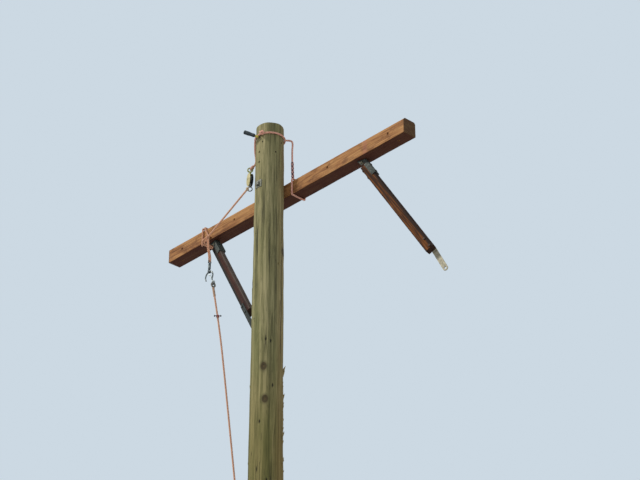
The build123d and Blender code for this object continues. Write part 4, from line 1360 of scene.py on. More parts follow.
class StrandTree:
    """Geometry Nodes that lay strands round a curve: twisted one way, or woven over and under."""

    def __init__(self) -> None:
        """Build the tree with its named inputs."""
        self.group = bpy.data.node_groups.new("laid_strands", "GeometryNodeTree")
        face = self.group.interface
        face.new_socket("Route", in_out="INPUT", socket_type="NodeSocketGeometry")
        kinds = dict.fromkeys(("Offset", "Strand Radius", "Pitch", "Step", "Weave", "Phase"), "Float")
        kinds.update({"Strands": "Int", "Material": "Material"})
        self.names = {
            name: face.new_socket(name, in_out="INPUT", socket_type=f"NodeSocket{kind}").identifier
            for name, kind in kinds.items()
        }
        face.new_socket("Rope", in_out="OUTPUT", socket_type="NodeSocketGeometry")
        self._lay(NodeTree(self.group))

    @staticmethod
    def _stored(tree: NodeTree, geometry: Value, name: str, given: Value) -> Value:
        """Geometry with one number for each point as a named attribute."""
        return tree.value("GeometryNodeStoreNamedAttribute", {"data_type": "FLOAT", "domain": "POINT"},
                          {"Geometry": geometry, "Name": name, "Value": given})

    def _lay(self, tree: NodeTree) -> None:
        """Add the nodes."""
        given = tree.node("NodeGroupInput")
        take = {socket.name: Value(tree, socket) for socket in given.outputs if socket.name}
        even = tree.value("GeometryNodeResampleCurve", {"mode": "LENGTH"},
                          {"Curve": take["Route"], "Length": take["Step"]})
        copies = tree.node("GeometryNodeDuplicateElements", {"domain": "SPLINE"},
                           {"Geometry": even, "Amount": take["Strands"]})
        strand = Value(tree, copies.outputs["Duplicate Index"])
        share = Value(tree, tree.node("GeometryNodeSplineParameter").outputs["Factor"])
        length = tree.value("GeometryNodeSplineLength")
        turns = (length / abs(take["Pitch"])).rounded()
        sign = take["Pitch"] / abs(take["Pitch"])
        angle = (share * turns * sign + strand / take["Strands"] + take["Phase"]) * math.tau
        side = tree.value("GeometryNodeInputNormal")
        other = tree.vector("CROSS_PRODUCT", {0: tree.value("GeometryNodeInputTangent"), 1: side})
        bob = (share * turns * take["Strands"] * math.tau + take["Phase"] * math.tau).sin()
        reach = take["Offset"] + bob * take["Weave"]
        first = tree.vector("SCALE", {0: side, 3: reach * angle.cos()})
        second = tree.vector("SCALE", {0: other, 3: reach * angle.sin()})
        laid = tree.value("GeometryNodeSetPosition", None, {
            "Geometry": Value(tree, copies.outputs["Geometry"]),
            "Offset": tree.vector("ADD", {0: first, 1: second}),
        })
        named = self._stored(tree, laid, "along", share * length)
        named = self._stored(tree, named, "strand", strand + take["Phase"] * 3.0)
        ring = tree.value("GeometryNodeCurvePrimitiveCircle", {"mode": "RADIUS"},
                          {"Resolution": 9, "Radius": take["Strand Radius"]})
        ring = self._stored(tree, ring, "around", share)
        skin = tree.value("GeometryNodeCurveToMesh", None,
                          {"Curve": named, "Profile Curve": ring, "Fill Caps": True})
        for kind, inputs in (("SetShadeSmooth", {}), ("RealizeInstances", {}),
                             ("SetMaterial", {"Material": take["Material"]})):
            skin = tree.value(f"GeometryNode{kind}", None, {"Geometry": skin, **inputs})
        tree.node("NodeGroupOutput", None, {0: skin})


STRANDS = StrandTree()


def smooth_curve(name: str, points: list, closed: bool, steps: int) -> bpy.types.Curve:
    """A smooth spline that its control points pull into shape.

    Args:
        name: Name of the curve.
        points: Control points in metres.
        closed: Whether the spline closes on itself.
        steps: Points of the spline for each control point.

    Returns:
        The curve.
    """
    curve = bpy.data.curves.new(name, "CURVE")
    curve.dimensions = "3D"
    curve.resolution_u = steps
    spline = curve.splines.new("NURBS")
    spline.points.add(len(points) - 1)
    for point, place in zip(spline.points, points):
        point.co = (*place, 1.0)
    spline.use_cyclic_u = closed
    spline.order_u = 3
    spline.use_endpoint_u = not closed
    return curve


@dataclass
class Rope:
    """A rope laid along a smooth route.

    Attributes:
        name: Name of the piece.
        points: Control points of the route in metres.
        diameter: Diameter over its strands.
        finish: Its yarn.
        closed: Whether the route closes on itself.
        strands: Number of strands.
        lay: Length of one turn of a strand, in diameters.
        hand: Way in which the strands are laid.
        woven: Whether a second set of strands crosses the first.
        step: Length between two points along a strand, in diameters.
    """

    name: str
    points: list
    diameter: float
    finish: RopeYarn
    closed: bool = False
    strands: int = 3
    lay: float = 2.6
    hand: Hand = Hand.RIGHT
    woven: bool = False
    step: float = 0.28

    def route(self) -> bpy.types.Object:
        """Curve object of the route."""
        name = f"{self.name}_route"
        return placed(name, smooth_curve(name, self.points, self.closed, steps=12))

    def centreline(self) -> list[tuple[float, float, float]]:
        """Points of the smooth route."""
        carrier = self.route()
        graph = bpy.context.evaluated_depsgraph_get()
        mesh = bpy.data.meshes.new_from_object(carrier.evaluated_get(graph), depsgraph=graph)
        places = [tuple(vertex.co) for vertex in mesh.vertices]
        bpy.data.meshes.remove(mesh)
        bpy.data.objects.remove(carrier)
        return places

    def _layer(self, hand: Hand, phase: float, thick: float, weave: float) -> bpy.types.Object:
        """One set of strands as a plain mesh. Their radius and the weave are shares of the diameter."""
        carrier = self.route()
        modifier = carrier.modifiers.new("strands", "NODES")
        modifier.node_group = STRANDS.group
        radius, weave = self.diameter * thick, self.diameter * weave
        values = {
            "Offset": self.diameter / 2 - radius - weave, "Strand Radius": radius,
            "Pitch": hand.value * self.lay * self.diameter, "Step": self.diameter * self.step, "Weave": weave,
            "Phase": phase, "Strands": self.strands, "Material": FINISHES.of(self.finish),
        }
        for name, given in values.items():
            modifier[STRANDS.names[name]] = given
        return baked(carrier, self.name)

    def build(self) -> bpy.types.Object:
        """Build the rope as one mesh."""
        if not self.woven:
            return self._layer(self.hand, phase=0.0, thick=0.25, weave=0.0)
        return joined(self.name, [
            self._layer(hand, phase=0.5 * (hand is Hand.LEFT) / self.strands, thick=0.17, weave=0.03)
            for hand in Hand])

    def dress(self, *nodes: str) -> bpy.types.Object:
        """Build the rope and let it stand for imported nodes."""
        return settle(self.build(), self.finish, *nodes)


def ring_points(centre: Vector, normal: Vector, radius: float, count: int = RING_STEPS) -> list[Vector]:
    """Control points of a round rope or wire ring. They lie outside it as far as the smooth route cuts in."""
    out = radius / (0.5 * (1 + math.cos(math.pi / count)))
    return circle(centre, axis_turn(normal), out, count)


def knot_points(centre: Vector, size: float, tilt: Vector) -> list[Vector]:
    """Closed route of a bulky knot that fills a ball.

    Args:
        centre: Middle of the knot.
        size: Diameter of the ball less that of the rope.
        tilt: Direction of the knot's axis.

    Returns:
        The control points.
    """
    lobes, steps, core = 3, 28, 0.62
    turn = axis_turn(tilt)
    points = []
    for i in range(steps):
        t = math.tau * i / steps
        reach = size / 2 * (core + (1 - core) * math.cos(lobes * t))
        rise = size / 2 * core * math.sin(lobes * t)
        points.append(centre + turn @ Vector((reach * math.cos(2 * t), reach * math.sin(2 * t), rise)))
    return points


def swept(name: str, points: list, radii: list, closed: bool = False, sides: int = 6) -> bpy.types.Object:
    """A round wire or forging along a smooth route, with its own radius at each point.

    Args:
        name: Name of the piece.
        points: Control points of the route.
        radii: Radius at each point.
        closed: Whether the route closes on itself.
        sides: Fineness of the round section.

    Returns:
        The mesh object.
    """
    curve = smooth_curve(name, points, closed, steps=6)
    curve.bevel_depth = 1.0
    curve.bevel_resolution = sides
    curve.use_fill_caps = True
    for point, radius in zip(curve.splines[0].points, radii):
        point.radius = radius
    piece = baked(placed(name, curve), name)
    outward(piece)
    piece.data.shade_smooth()
    return piece


def wire_ring(name: str, centre: Vector, normal: Vector, radius: float, wire: float) -> bpy.types.Object:
    """A round ring of even wire."""
    return swept(name, ring_points(centre, normal, radius), [wire] * RING_STEPS, closed=True)


def turned(name: str, start: Vector, way: Vector, outline: list, sides: int = 40) -> bpy.types.Object:
    """A turned shape: an outline of (distance along, radius) spun round an axis.

    Args:
        name: Name of the piece.
        start: Point on the axis where distances start.
        way: Direction of the axis.
        outline: Pairs of distance and radius; both ends reach the axis.
        sides: Faces round the axis.

    Returns:
        The mesh object.
    """
    turn = axis_turn(way)
    vertices = []
    for distance, radius in outline:
        vertices += circle(start, turn, radius, sides, distance)
    piece = mesh_object(name, vertices, tube_faces(len(outline), sides, capped=True))
    shade_by_angle(piece, 38)
    return piece


def heading(degrees: float, rise: float = 0.0) -> Vector:
    """Unit direction from its heading and its rise above level, in degrees."""
    turn, lift = math.radians(degrees), math.radians(rise)
    return Vector((math.cos(turn) * math.cos(lift), math.sin(turn) * math.cos(lift), math.sin(lift)))


@dataclass
class Rigging:
    """Directions and heights that the sling, the block and the hand line share."""

    top: float = POLE_HEIGHT
    arm_front: float = ARM_FRONT_Y
    arm_width: float = 2 * ARM_HALF_WIDTH
    arm_drop: float = 0.496
    arm_half: float = ARM_HALF_HEIGHT
    gap: float = 0.0003
    side_way: Vector = field(default_factory=lambda: heading(46.7))
    behind_way: Vector = field(default_factory=lambda: heading(136.7))

    def beside(self, side: float, behind: float, drop: float) -> Vector:
        """Point to one side of the pole's axis, behind it and below the top."""
        return self.side_way * side + self.behind_way * behind + UP * (self.top - drop)

    def at(self, x: float, y: float, drop: float) -> Vector:
        """Point at a distance below the pole's top."""
        return Vector((x, y, self.top - drop))

    def on_face(self, x: float, out: float, drop: float) -> Vector:
        """Point in front of the crossarm's front face."""
        return self.at(x, self.arm_front - out, drop)

    def turn_points(self, x: float, reach: float, ease: float) -> list[Vector]:
        """Closed turn round the crossarm: two points at each corner.

        Args:
            x: Place along the crossarm.
            reach: Distance of the rope's middle from the faces.
            ease: Distance of the points from each corner.

        Returns:
            The control points.
        """
        front, back = reach, -self.arm_width - reach
        top, low = self.arm_drop - self.arm_half - reach, self.arm_drop + self.arm_half + reach
        middle = (front + back) / 2
        pairs = [
            (front, top + ease), (front - ease, top), (middle, top), (back + ease, top), (back, top + ease),
            (back, self.arm_drop), (back, low - ease), (back + ease, low), (middle, low), (front - ease, low),
            (front, low - ease), (front, self.arm_drop),
        ]
        return [self.on_face(x, out, drop) for out, drop in pairs]


@dataclass
class Sling:
    """The rope round the pole's top with its knot, its two legs, the splice and the loop round the arm."""

    rig: Rigging
    diameter: float = 0.0142
    splice_diameter: float = 0.022
    knot_diameter: float = 0.038
    knot_route: float = 0.031
    drop: float = 0.094
    knot_heading: float = -72.0
    loop_x: float = 0.135
    eye_lean: float = 40.0

    def knot_centre(self) -> Vector:
        """Middle of the knot."""
        reach = pole_radius(self.drop) + self.rig.gap + self.knot_diameter / 2
        return heading(self.knot_heading) * reach + UP * (self.rig.top - self.drop)

    def _rope(self, name: str, points: list[Vector], closed: bool = False) -> Rope:
        """One of the sling's ropes."""
        return Rope(name, points, self.diameter, SLING_YARN, closed)

    def build(self, block_eye: Vector) -> None:
        """Build and dress the sling.

        Args:
            block_eye: Middle of the block's eye, which the rope eye of one leg goes through.
        """
        rig = self.rig
        reach = pole_radius(self.drop) + rig.gap + self.diameter / 2
        ring = ring_points(rig.at(0, 0, self.drop), UP, reach + 0.0006, 24)
        self._rope("sling_ring_rope", ring, closed=True).dress("sling_ring")
        knot = knot_points(self.knot_centre(), self.knot_route, heading(self.knot_heading, 30))
        self._rope("sling_knot_rope", knot, closed=True).dress("sling_knot")
        self._build_block_leg(block_eye, reach)
        loop_reach = rig.gap + self.diameter / 2
        foot = rig.at(self.loop_x, rig.arm_front, rig.arm_drop - rig.arm_half - 2 * loop_reach - rig.gap)
        head = rig.beside(0.160, -0.032, 0.304)
        way = (foot - head).normalized()
        self._rope("sling_arm_leg_rope", [
            rig.beside(reach + 0.004, 0.0, self.drop), rig.beside(0.148, 0.0, 0.094),
            rig.beside(0.163, -0.004, 0.117), head - way * 0.096, head + way * 0.004]).dress("sling_arm_leg")
        Rope("sling_splice_braid", [head - way * 0.006, head + way * 0.03, foot - way * 0.03, foot],
             self.splice_diameter, SPLICE_YARN, strands=4, lay=2.4, woven=True).dress("sling_splice")
        loop = rig.turn_points(self.loop_x, loop_reach, 0.004)
        self._rope("sling_arm_loop_rope", loop, closed=True).dress("sling_arm_loop")

    def _build_block_leg(self, block_eye: Vector, reach: float) -> None:
        """The leg to the block, with its eye."""
        rig = self.rig
        lean = math.radians(self.eye_lean)
        lean_way = UP * math.cos(lean) + rig.side_way * math.sin(lean)
        eye = block_eye + lean_way * (
            BLOCK_EYE_RADIUS - BLOCK_EYE_WIRE + ROPE_EYE_RADIUS - self.diameter / 2 - rig.gap)
        leg = self._rope("sling_block_leg_rope", [
            rig.beside(-reach, 0.010, self.drop + 0.004), rig.beside(-0.107, 0.022, 0.166),
            rig.beside(-0.097, 0.047, 0.222), rig.beside(-0.099, 0.041, 0.269),
            eye + lean_way * ROPE_EYE_RADIUS])
        loop = self._rope("sling_eye_rope", ring_points(eye, rig.behind_way.cross(lean_way), ROPE_EYE_RADIUS),
                          closed=True)
        settle(joined("sling_block_leg_rope", [leg.build(), loop.build()]), SLING_YARN, "sling_block_leg")


@dataclass
class TuckedBar:
    """The bar with a ferrule and a ribbed grip that is tucked in under the sling beside its knot."""

    rig: Rigging
    foot_heading: float = -86.0
    foot_drop: float = 0.117
    foot_out: float = 0.0049
    way: Vector = field(default_factory=lambda: heading(215, 28))
    radius: float = 0.005
    collar: float = 0.009
    grip_start: float = 0.041
    grip_length: float = 0.088
    grip_radius: float = 0.015
    waist: float = 0.0022
    ribs: int = 8
    rib_depth: float = 0.0011

    def build(self) -> None:
        """Build and dress the bar."""
        reach = pole_radius(self.foot_drop) + self.foot_out
        start = heading(self.foot_heading) * reach + UP * (self.rig.top - self.foot_drop)
        radius, collar = self.radius, self.collar
        low = collar * 0.9
        shank = [(0.0, 0.0), (0.0, radius * 0.85), (0.0008, radius), (0.0365, radius), (0.0370, radius * 1.4),
                 (0.0408, radius * 1.4), (0.0409, radius), (0.0508, radius), (0.0510, 0.0)]
        settle(turned("bar_shank_turned", start, self.way, shank), DARK_STEEL, "bar_shank")
        ferrule = [(0.0090, radius), (0.0090, low), (0.0098, collar), (0.0130, collar), (0.0135, low),
                   (0.0152, low), (0.0157, collar), (0.0285, collar), (0.0290, low), (0.0308, low),
                   (0.0313, collar), (0.0340, collar), (0.0350, low), (0.0350, radius)]
        settle(turned("bar_ferrule_turned", start, self.way, ferrule), FERRULE_BRASS, "bar_ferrule")
        settle(turned("bar_grip", start, self.way, self._grip(), 48), HANDLE_GRIP, "bar_handle")

    def _grip(self) -> list[tuple[float, float]]:
        """Outline of the grip: a waisted handle with ribs between two smooth ends."""
        start, end = self.grip_start, self.grip_start + self.grip_length
        outline = [(start, 0.0), (start, 0.0085), (start + 0.0012, 0.0105), (start + 0.004, 0.0125)]
        first, last = start + 0.010, end - 0.014
        for i in range(self.ribs):
            for share, low in ((0.0, self.rib_depth), (0.25, 0.0), (0.65, 0.0), (0.9, self.rib_depth)):
                place = (i + share) / self.ribs
                swell = self.grip_radius - self.waist + self.waist * math.cos(math.pi * (place - 0.75)) ** 2
                outline.append((first + (last - first) * place, swell - low))
        return outline + [(end - 0.012, 0.0148), (end - 0.006, 0.0150), (end - 0.0025, 0.0138),
                          (end - 0.0006, 0.0108), (end, 0.0070), (end, 0.0)]


@dataclass
class Block:
    """The hand-line block: two domed cheeks, a grooved sheave on its pin, an eye above and a becket below."""

    rig: Rigging
    axle_heading: float = 251.0
    drop: float = 0.422
    out: float = 0.036
    cheek_half: tuple = (0.032, 0.052)
    cheek_thick: float = 0.009
    cheek_sides: int = 64
    boss_from: float = 0.36
    boss_blend: float = 0.11
    boss_radius: float = 0.0098
    gap_between: float = 0.021
    groove_radius: float = 0.0072
    groove_out: float = 0.0272
    eye_rise: float = 0.082
    eye_swell: float = 0.0012
    becket_fall: float = 0.074
    becket_wire: float = 0.0035
    stem_start: float = 0.036

    def centre(self) -> Vector:
        """Middle of the sheave."""
        return self.rig.beside(-pole_radius(self.drop) - self.out, 0.0, self.drop)

    def eye_centre(self) -> Vector:
        """Middle of the eye above the block."""
        return self.centre() + UP * self.eye_rise

    def becket_centre(self) -> Vector:
        """Middle of the ring below the block."""
        return self.centre() - UP * self.becket_fall

    def _cheek(self, name: str, direction: float) -> bpy.types.Object:
        """One cheek: a lens-shaped plate with a domed face, a raised rim and a boss round the pin."""
        axle = heading(self.axle_heading)
        right = Vector((-axle.y, axle.x, 0))
        rings = [
            (1.0, 0.0), (1.0, 0.0012), (0.985, 0.0026), (0.955, 0.0038), (0.925, 0.0040), (0.90, 0.0034),
            (0.80, 0.0052), (0.66, 0.0070), (0.50, 0.0081), (0.36, 0.0086), (0.28, 0.0088), (0.25, 0.0090)]
        vertices = []
        for share, rise in rings:
            pull = max(0.0, (self.boss_from - share) / self.boss_blend)
            level = direction * (self.gap_between / 2 + min(rise, self.cheek_thick))
            for i in range(self.cheek_sides):
                angle = math.tau * i / self.cheek_sides
                x, y = (half * share * part * (1 - pull) + self.boss_radius * part * pull
                        for half, part in zip(self.cheek_half, (math.cos(angle), math.sin(angle))))
                vertices.append(self.centre() + right * x + UP * y + axle * level)
        piece = mesh_object(name, vertices, tube_faces(len(rings), self.cheek_sides, capped=True))
        shade_by_angle(piece, 50)
        return piece

    def build(self) -> None:
        """Build and dress the block."""
        axle = heading(self.axle_heading)
        centre = self.centre()
        settle(self._cheek("block_outer_shell", 1.0), BLOCK_SHELL, "block_outer_cheek")
        settle(self._cheek("block_inner_shell", -1.0), DARK_STEEL, "block_inner_cheek")
        half = self.gap_between / 2 + self.cheek_thick
        pin = [(-half, 0.0), (-half, 0.0055), (-half + 0.0008, 0.0062), (half - 0.0008, 0.0062),
               (half, 0.0055), (half, 0.0)]
        settle(turned("block_axle", centre, axle, pin), DARK_STEEL, "block_pin")
        rim = [(0.0078, 0.0268), (0.0088, 0.0264), (0.0093, 0.0255), (0.0093, 0.0064)]
        groove = [(-place, radius) for place, radius in reversed(rim)]
        for angle in map(math.radians, range(-84, 85, 14)):
            groove.append((self.groove_radius * math.sin(angle),
                           self.groove_out - self.groove_radius * math.cos(angle)))
        wheel = turned("block_wheel", centre, axle, groove + rim, 56)
        settle(wheel, DARK_STEEL, "block_sheave", body="sheave")
        behind = self.rig.behind_way
        lower = [max(0.0, -math.sin(math.tau * i / RING_STEPS)) for i in range(RING_STEPS)]
        radii = [BLOCK_EYE_WIRE + self.eye_swell * share for share in lower]
        points = ring_points(self.eye_centre(), behind, BLOCK_EYE_RADIUS)
        ring = swept("block_eye_ring", points, radii, closed=True)
        stem = turned("block_eye_stem", centre + UP * self.stem_start, UP, [
            (0.0, 0.0), (0.0, 0.0098), (0.014, 0.0098), (0.0155, 0.0085), (0.0175, 0.0060), (0.0230, 0.0055),
            (0.0290, 0.0062), (0.0310, 0.0050), (0.0312, 0.0)])
        settle(joined("block_eye", [ring, stem]), HOOK_PAINT, "block_hook")
        low = self.becket_centre()
        ring = wire_ring("block_becket_ring", low, behind, BLOCK_EYE_RADIUS, self.becket_wire)
        stem = turned("block_becket_stem", centre - UP * self.stem_start, -UP, [
            (0.0, 0.0), (0.0, 0.0098), (0.014, 0.0098), (0.0155, 0.0080), (0.0175, 0.0055), (0.0212, 0.0050),
            (0.0240, 0.0040), (0.0242, 0.0)])
        settle(joined("block_becket_link", [ring, stem]), BECKET_STEEL, "block_becket")


@dataclass
class HandLine:
    """The line from the block to the arm, its hitch, the pendant, and the fall with its eye, tie and knot."""

    rig: Rigging
    block: Block
    diameter: float = 0.014
    pendant_diameter: float = 0.012
    pendant_apart: float = 0.0066
    knot_diameter: float = 0.038
    hitch_turn_x: float = -0.803
    hitch_loop_x: float = -0.824
    fall: tuple = ((-0.667, 1.046), (-0.617, 1.262), (-0.545, 1.640), (-0.384, 2.650))
    fall_length: float = 1.63
    tie_drop: float = 1.228
    tie_half: float = 0.0215
    tie_turns: tuple = (-0.006, -0.002, 0.002, 0.006)

    def hitch_centre(self) -> Vector:
        """Middle of the knot on the arm's front face."""
        return self.rig.on_face(-0.748, self.rig.gap + self.knot_diameter / 2, 0.536)

    def pendant_foot(self) -> Vector:
        """Lowest point of the pendant's two strands, where it turns through the swivel."""
        return self.rig.on_face(HOOK_X, self.rig.gap + self.knot_diameter / 4, 0.745)

    def _rope(self, name: str, points: list[Vector], closed: bool = False) -> Rope:
        """One stretch of the line."""
        return Rope(name, points, self.diameter, LINE_YARN, closed)

    def build(self) -> None:
        """Build and dress the hand line."""
        side = self.rig.side_way
        centre = self.hitch_centre()
        becket = self.block.becket_centre() - side * BLOCK_EYE_RADIUS
        way = (centre - becket).normalized()
        knot = Rope("becket_knot_rope", knot_points(becket, 0.021, side), 0.012, BECKET_YARN, closed=True)
        knot.dress("becket_knot")
        self._rope("hand_line_span_rope", [
            becket + way * 0.010, becket + way * 0.2, centre - way * 0.2, centre - way * 0.012],
        ).dress("hand_line_span")
        self._build_hitch(centre)
        foot = self.pendant_foot()
        half = (self.pendant_diameter + 0.008) / 2 + 0.0016
        strand = [(centre, self.pendant_apart, 0, -0.010), (centre, self.pendant_apart, 0.002, -0.08),
                  (foot, self.pendant_apart, 0, 0.045), (foot, half, 0, 0.0)]
        left = [start + Vector((-x, y, z)) for start, x, y, z in strand]
        right = [start + Vector((x, y, z)) for start, x, y, z in strand]
        Rope("hook_pendant_rope", left + right[::-1], self.pendant_diameter, LINE_YARN).dress("hook_pendant")
        self._build_fall(foot.y)

    def _build_hitch(self, centre: Vector) -> None:
        """Knot, turns and tail of the hitch round the arm."""
        rig = self.rig
        Rope("hitch_knot_rope", knot_points(centre, 0.027, Vector((-0.3, -1, 0.25))), self.diameter * 0.9,
             LINE_YARN, closed=True).dress("hitch_knot")
        reach = rig.gap + self.diameter / 2
        low, top = rig.arm_drop + rig.arm_half + reach, rig.arm_drop - rig.arm_half - reach
        back, ease, x = -rig.arm_width - reach, 0.004, self.hitch_turn_x
        middle = (reach + back) / 2
        pairs = [
            (reach - ease * 0.3, low - ease * 0.2), (reach - 2.5 * ease, low), (middle, low),
            (back + ease, low), (back, low - ease), (back, rig.arm_drop), (back, top + ease),
            (back + ease, top), (middle, top), (reach - 2.5 * ease, top),
            (reach - ease * 0.3, top + ease * 0.2)]
        turn = [
            centre + Vector((-0.010, 0.0115, -0.002)), rig.on_face(x + 0.006, reach, low - 0.012),
            *(rig.on_face(x, out, drop) for out, drop in pairs),
            rig.on_face(x + 0.006, reach, top + 0.012), centre + Vector((-0.006, 0.0115, 0.010))]
        loop = rig.turn_points(self.hitch_loop_x, reach, ease)
        parts = [self._rope("hitch_turn_rope", turn).build(),
                 self._rope("hitch_loop_rope", loop, closed=True).build()]
        settle(joined("arm_hitch_rope", parts), LINE_YARN, "arm_hitch")
        way = Vector((-0.030, -0.018, -0.014)).normalized()
        self._rope("hitch_tail_rope", [
            centre + way * 0.008, centre + way * 0.038, centre + Vector((-0.048, -0.014, -0.036)),
            centre + Vector((-0.052, -0.009, -0.060))]).dress("hitch_tail")

    def _tie_out(self) -> Vector:
        """From the tie's middle line to the falling line's."""
        return self.rig.behind_way * ((self.diameter + 0.005) / 2 + self.rig.gap)

    def _tie(self, middle: Vector, line_way: Vector) -> bpy.types.Object:
        """Short cord across the falling line: knotted at both ends and held by a wrap of yarn."""
        rig = self.rig
        half = rig.side_way * self.tie_half
        parts = [Rope("fall_tie_cord", [
            middle - half, middle - half * 0.4 + UP * 0.0015, middle + half * 0.4 + UP * 0.001,
            middle + half], 0.0055, DARK_CORD).build()]
        for end in (middle - half, middle + half):
            knot = Rope("tie_end", knot_points(end, 0.009, rig.side_way), 0.0058, DARK_CORD, closed=True)
            parts.append(knot.build())
        on_line = middle + self._tie_out()
        for step in self.tie_turns:
            centre = on_line + line_way * step - rig.behind_way * 0.002
            wrap = ring_points(centre, line_way, 0.0098)
            parts.append(Rope("tie_wrap", wrap, 0.004, WRAP_YARN, closed=True, strands=2).build())
        return joined("fall_tie_cord", parts)

    def _build_fall(self, y: float) -> None:
        """Eye, splice, falling line, tie and end knot."""
        rig = self.rig
        route = [rig.at(x, y, drop) for x, drop in self.fall]
        eye = rig.at(HOOK_EYE_PLACE[0], y, HOOK_EYE_PLACE[1]) - UP * (
            HOOK_EYE_RADIUS - HOOK_EYE_WIRE + ROPE_EYE_RADIUS - self.diameter / 2 - rig.gap)
        Rope("line_eye_rope", ring_points(eye, Vector((1, 0, 0)), ROPE_EYE_RADIUS), self.diameter, EYE_YARN,
             closed=True).dress("line_eye")
        way = (route[1] - route[0]).normalized()
        top = route[0] - way * 0.078
        Rope("line_splice_braid", [
            top + way * 0.004, top + way * 0.03, route[0] - way * 0.02, route[0] + way * 0.004],
            0.0195, FALL_SPLICE_YARN, strands=4, lay=2.4, woven=True).dress("line_splice")
        fall = self._rope("hand_line_fall_rope", route)
        line = fall.dress("hand_line_fall")
        share = (rig.top - self.tie_drop - route[0].z) / (route[1] - route[0]).z
        middle = route[0] + (route[1] - route[0]) * share - self._tie_out()
        tie_piece = settle(self._tie(middle, way), DARK_CORD, "fall_tie")
        last = (route[-1] - route[-2]).normalized()
        knot = Rope("fall_knot_rope", knot_points(route[-1] + last * 0.0183, 0.024, last), 0.0125, LINE_YARN,
                    closed=True)
        knot_piece = knot.dress("fall_knot")
        fall.centreline()


@dataclass
class HookGear:
    """The swivel, the open snap hook with its eye, and the latch."""

    rig: Rigging
    foot: Vector
    drop: float = 0.866
    bow_radius: float = 0.040
    bow_steps: int = 14
    bow_swell: float = 1.004
    wire: float = 0.005
    bow_start: float = -45.0
    bow_sweep: float = 262.0
    latch_angle: float = -39.0
    swivel_eye: float = 0.012

    def _at(self, x: float, z: float) -> Vector:
        """Point in the hook's plane, from its middle."""
        return Vector((HOOK_X + x, self.foot.y, self.rig.top - self.drop + z))

    def _on_bow(self, degrees: float, radius: float) -> Vector:
        """Point of a circle round the bow's middle."""
        angle = math.radians(degrees)
        return self._at(radius * math.cos(angle), radius * math.sin(angle))

    def build(self) -> None:
        """Build and dress the hook, its latch and its swivel."""
        self._build_swivel()
        eye = self.rig.at(HOOK_EYE_PLACE[0], self.foot.y, HOOK_EYE_PLACE[1])
        bow_end = self._on_bow(self.bow_start, self.bow_radius)
        shank = (eye - bow_end).normalized()
        points = [eye - shank * 0.011, eye - shank * 0.018, bow_end + shank * 0.004]
        radii = [0.0052, 0.0048, 0.0052]
        for i in range(self.bow_steps + 1):
            share = i / self.bow_steps
            degrees = self.bow_start + 6 + (self.bow_sweep - 6) * i / self.bow_steps
            points.append(self._on_bow(degrees, self.bow_radius * self.bow_swell))
            radii.append(self.wire * (1.06 - 0.30 * max(0.0, share - 0.55)))
        tip = self._on_bow(self.bow_start + self.bow_sweep, self.bow_radius)
        points.append(tip + Vector((0.0003, 0, -0.0004)))
        radii.append(0.0042)
        bow = swept("snap_hook_bow", points, radii, sides=8)
        ring = wire_ring("snap_hook_eye", eye, Vector((0, 1, 0)), HOOK_EYE_RADIUS, HOOK_EYE_WIRE)
        settle(joined("snap_hook_forging", [bow, ring]), BRIGHT_STEEL, "snap_hook")
        foot = self._on_bow(self.latch_angle, self.bow_radius - self.wire - self.rig.gap)
        head = self._at(-0.008, 0.024)
        middle = (foot + head) / 2 + Vector((0.002, 0, 0.0015))
        latch = swept("snap_hook_latch", [foot, foot.lerp(middle, 0.5), middle, middle.lerp(head, 0.6), head],
                      [0.0030, 0.0030, 0.0026, 0.0026, 0.0030])
        settle(latch, BRIGHT_STEEL, "hook_latch")

    def _build_swivel(self) -> None:
        """Two eyes joined by a turned barrel."""
        top = self.foot + UP * (0.006 + self.rig.gap + HOOK_EYE_WIRE - self.swivel_eye)
        low = self._at(0, self.bow_radius - self.wire - self.rig.gap - HOOK_EYE_WIRE + self.swivel_eye)
        rings = [wire_ring("swivel_eye", place, Vector((1, 0, 0)), self.swivel_eye, HOOK_EYE_WIRE)
                 for place in (top, low)]
        length = (top - low).length
        barrel = turned("swivel_barrel", low, UP, [
            (0.0115, 0.0), (0.0115, 0.0048), (0.0150, 0.0052), (0.0170, 0.0078), (0.0185, 0.0098),
            (0.0215, 0.0100), (0.0222, 0.0088), (0.0236, 0.0088), (0.0243, 0.0100), (length - 0.0195, 0.0100),
            (length - 0.0178, 0.0085), (length - 0.0160, 0.0055), (length - 0.0115, 0.0048),
            (length - 0.0115, 0.0)])
        settle(joined("hook_swivel_forging", rings + [barrel]), BRIGHT_STEEL, "hook_swivel")


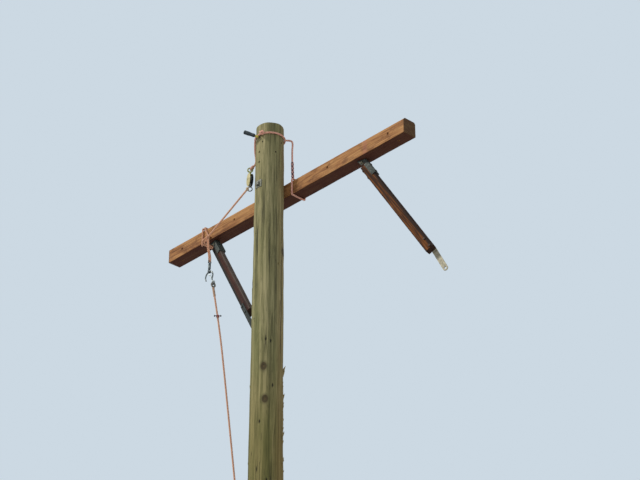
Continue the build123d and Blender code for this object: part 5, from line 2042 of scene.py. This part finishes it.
@dataclass
class Studio:
    """Camera, soft light, pale floor and pale background."""

    camera_place: tuple = (8.4712, -7.5159, 1.4577)
    camera_ahead: tuple = (-0.63101, 0.59600, 0.49660)
    camera_up: tuple = (0.36215, -0.33980, 0.86798)
    lens: float = 106.875
    sight: float = 400.0
    pale: tuple = (0.80, 0.85, 0.89)
    sky_light: tuple = (0.80, 0.88, 1.0, 1.0)
    sky_strength: float = 0.42
    floor_half: float = 150.0
    floor_paint: tuple = (0.62, 0.62, 0.61, 1.0)

    def build(self) -> None:
        """Set up the camera, the lights, the floor and the world."""
        scene = bpy.context.scene
        scene.view_settings.view_transform = "Standard"
        data = bpy.data.cameras.new("camera")
        data.lens = self.lens
        data.sensor_width = 36.0
        data.clip_end = self.sight
        ahead, up = Vector(self.camera_ahead), Vector(self.camera_up)
        turn = Matrix([ahead.cross(up), up, -ahead]).transposed()
        scene.camera = placed("camera", data)
        scene.camera.matrix_world = Matrix.Translation(self.camera_place) @ turn.to_4x4()
        self._sun("key_light", (-0.50, -0.74, 0.80), strength=2.5, spread=7.0, colour=(1.0, 0.96, 0.88))
        self._sun("fill_light", (0.9, -0.25, 0.25), strength=0.60, spread=60.0, colour=(0.92, 0.96, 1.0))
        self._sky()
        half = self.floor_half
        corners = [(-half, -half, 0), (half, -half, 0), (half, half, 0), (-half, half, 0)]
        floor = mesh_object("studio_floor", corners, [(0, 1, 2, 3)])
        floor.data.materials.append(Shader("floor_paint").finish(self.floor_paint, 0.9))

    @staticmethod
    def _sun(name: str, place: tuple, strength: float, spread: float, colour: tuple) -> None:
        """Add one broad light from a direction."""
        data = bpy.data.lights.new(name, "SUN")
        data.energy = strength
        data.angle = math.radians(spread)
        data.color = colour
        placed(name, data).matrix_world = axis_turn(Vector(place)).to_4x4()

    def _sky(self) -> None:
        """A plain pale surround that is dimmer as a light than it looks."""
        world = bpy.data.worlds.new("surround")
        world.use_nodes = True
        bpy.context.scene.world = world
        tree = NodeTree(world.node_tree)
        rays = tree.node("ShaderNodeLightPath")
        shown = Value(tree, rays.outputs["Is Camera Ray"]) + Value(tree, rays.outputs["Is Glossy Ray"])
        light = tree.value("ShaderNodeBackground", None, {0: self.sky_light, 1: self.sky_strength})
        seen = tree.value("ShaderNodeBackground", None, {0: linear(*self.pale), 1: 1.0})
        both = tree.value("ShaderNodeMixShader", None, {0: shown, 1: light, 2: seen})
        tree.node("ShaderNodeOutputWorld", None, {0: both})


def main() -> None:
    """Build and dress the whole object."""
    logging.basicConfig(level=logging.INFO, format="%(name)s: %(message)s")
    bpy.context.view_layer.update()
    Studio().build()
    Pole().build()
    Crossarm().build()
    Brace(Side.LEFT, -BRACE_BOLT_X, -12.0, 34.07, LEFT_BRACE_TIMBER).build()
    Brace(Side.RIGHT, BRACE_BOLT_X, 14.0, 31.4, RIGHT_BRACE_TIMBER).build()
    Bolts().build()
    rig = Rigging()
    block = Block(rig)
    block.build()
    Sling(rig).build(block.eye_centre())
    TuckedBar(rig).build()
    line = HandLine(rig, block)
    line.build()
    HookGear(rig, line.pendant_foot()).build()


if __name__ == "__main__":
    main()
